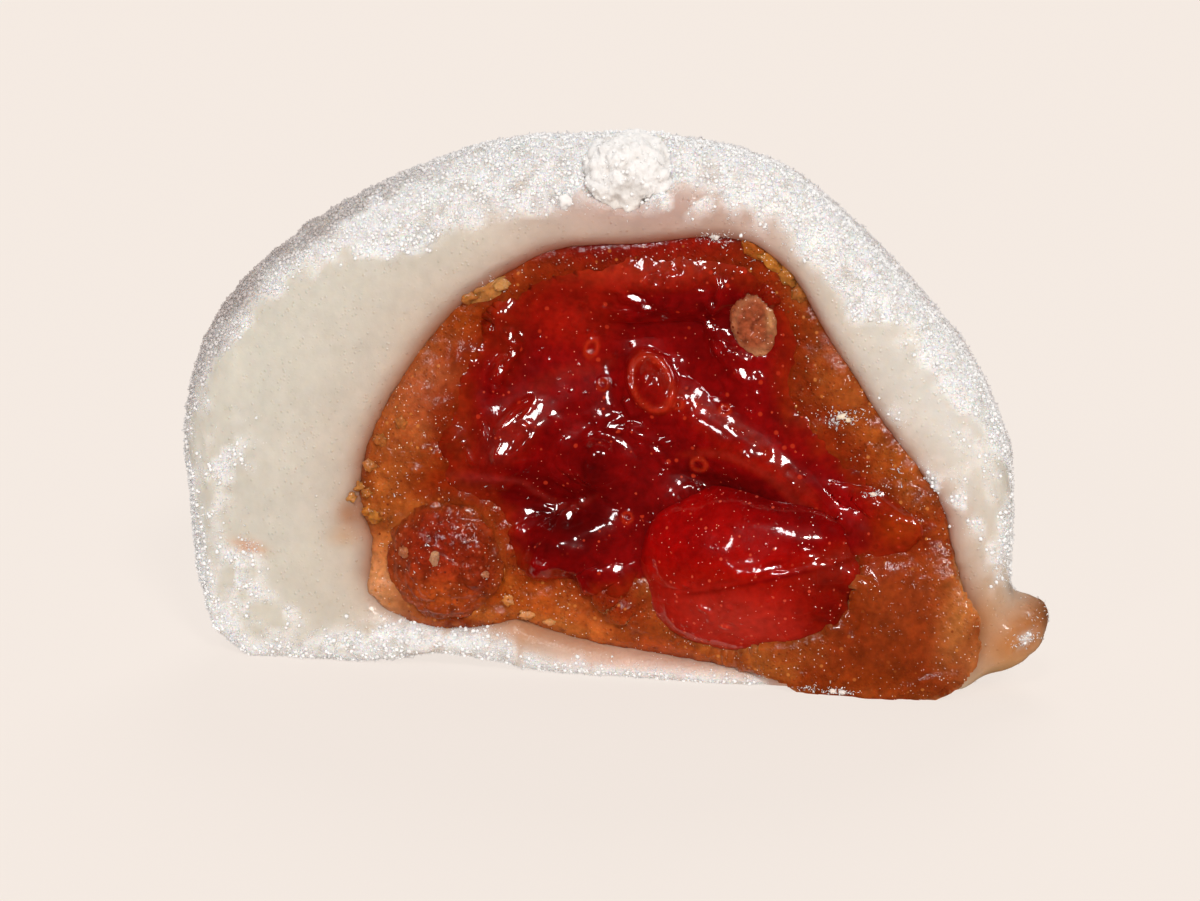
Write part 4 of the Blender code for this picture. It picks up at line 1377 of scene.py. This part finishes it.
def bits(name, table, surfaces, material):
    """Knobbly bits of food set on whichever of the surfaces shows at their places."""
    points, corners, colours, total = [], [], [], 0
    for x, z, across, out, up, turn, colour in table:
        ground = ground_at(surfaces, x, z)
        bm = bmesh.new()
        bmesh.ops.create_icosphere(bm, subdivisions=3, radius=1.0)
        for vert in bm.verts:
            spin = vert.co * 1.6 + Vector((x, 0.0, z)) * 3
            vert.co *= 1 + 0.55 * noise.noise(spin) + 0.3 * noise.noise(spin * 2.6)
        turned = Matrix.Rotation(-math.radians(turn), 4, "Y") @ Matrix.Diagonal((across, out, up, 1.0))
        settle = Matrix.Translation((x, ground + 0.15 * out, z)) @ turned
        bmesh.ops.transform(bm, matrix=settle, verts=bm.verts)
        shape, faces = solid_arrays(bm)
        points.append(shape)
        corners.append(faces + total)
        colours.append(with_wetness(plain(colour, shape), 0.2))
        total += len(shape)
    return gathered(name, points, corners, colours, material)


TABLE_COLOUR = "#f4eae2"
TABLE_EVENNESS = 0.85  # how little the shadows show on the table


def stage():
    """A pale table that light falls on evenly."""
    bm = bmesh.new()
    bmesh.ops.create_grid(bm, x_segments=1, y_segments=1, size=3.0)
    mesh = bpy.data.meshes.new("table")
    bm.to_mesh(mesh)
    bm.free()
    floor = shown("table", mesh)
    look = empty_material("painted_table")
    pale = (*linear(TABLE_COLOUR), 1.0)
    paint = add(look, "ShaderNodeBsdfDiffuse", None, {"Color": pale})
    glow = add(look, "ShaderNodeEmission", None, {"Color": pale, "Strength": 1.0})
    links = {1: paint.outputs["BSDF"], 2: glow.outputs["Emission"]}
    mix = add(look, "ShaderNodeMixShader", None, {0: TABLE_EVENNESS}, links)
    add(look, "ShaderNodeOutputMaterial", None, None, {"Surface": mix.outputs["Shader"]})
    mesh.materials.append(look)
    floor.visible_glossy = False


# Lamps: name, azimuth, elevation, strength, spread in degrees, colour, whether wet surfaces mirror it.
LAMPS = (
    ("key", 28.0, 33.0, 1.3, 10.0, "#fffaf4", True),
    ("second", 2.0, 42.0, 0.6, 9.0, "#ffffff", True),
    ("third", -16.0, 24.0, 0.3, 7.0, "#ffffff", True),
    ("behind", 185.0, 38.0, 1.3, 30.0, "#ffffff", False),
)
SKY_COLOUR, SKY_STRENGTH = "#fbf8f5", 0.42


def toward(azimuth, elevation):
    """The direction at this azimuth, from -Y round to +X, and this height, both in radians."""
    across = math.cos(elevation)
    return Vector((math.sin(azimuth) * across, -math.cos(azimuth) * across, math.sin(elevation)))


def sun(name, azimuth, elevation, strength, spread, colour, mirrored):
    lamp = bpy.data.lights.new(name, "SUN")
    lamp.energy = strength
    lamp.angle = math.radians(spread)
    lamp.color = linear(colour)
    light = shown(name, lamp)
    light.visible_glossy = mirrored
    back = toward(math.radians(azimuth), math.radians(elevation))
    light.rotation_euler = back.to_track_quat("Z", "Y").to_euler()


def light_and_view():
    scene = bpy.context.scene
    scene.view_settings.view_transform = "Standard"
    world = bpy.data.worlds.new("studio")
    world.use_nodes = True
    sky = world.node_tree.nodes["Background"].inputs
    sky["Color"].default_value = (*linear(SKY_COLOUR), 1.0)
    sky["Strength"].default_value = SKY_STRENGTH
    world.cycles_visibility.glossy = False
    scene.world = world
    for lamp in LAMPS:
        sun(*lamp)
    lens = bpy.data.cameras.new("camera")
    lens.lens, lens.sensor_width = CAMERA_LENS, CAMERA_SENSOR
    lens.clip_start = 0.001
    camera = shown("camera", lens)
    back = toward(CAMERA_AZIMUTH, CAMERA_ELEVATION)
    camera.location = CAMERA_AIM + back * CAMERA_DISTANCE
    camera.rotation_euler = back.to_track_quat("Z", "Y").to_euler()
    scene.camera = camera


dough = rice_dough()
paste = dressed("bean_paste", paste_rise, paste_tint, side=0.5, front=0.1, glints=GLINTS)
jam = red_jam()
lump = dressed("paste_lump", lump_rise, lump_tint, side=0.7, front=-0.1, glints=GLINTS)
clump = dressed("starch_clump", clump_rise, clump_tint)
starch_grains(dough, clump)
surfaces = [BVHTree.FromBMesh(bm) for bm in (dough, paste, jam, lump, clump, solids["fruit_piece"])]
pinches(surfaces)
bits("paste_bits", PASTE_BITS, surfaces, paste_look)
bits("starch_bits", STARCH_BITS, surfaces, starch_look)
finished("rice_dough", dough, dough_look, ["rice_skin"])
finished("paste", paste, paste_look, ["bean_paste"])
finished("jam", jam, jam_look, ["red_jam"])
fruit = dressed("fruit_piece", fruit_rise, fruit_tint, side=0.45, front=0.1, glints=GLINTS)
finished("fruit", fruit, fruit_look, ["fruit_piece"])
finished("coarse_paste", lump, lump_look, ["paste_lump"])
flake = dressed("paste_chip", chip_rise, chip_tint, side=0.1)
finished("flake", flake, lump_look, ["paste_chip"])
finished("clump", clump, starch_look, ["starch_clump"])
stage()
light_and_view()
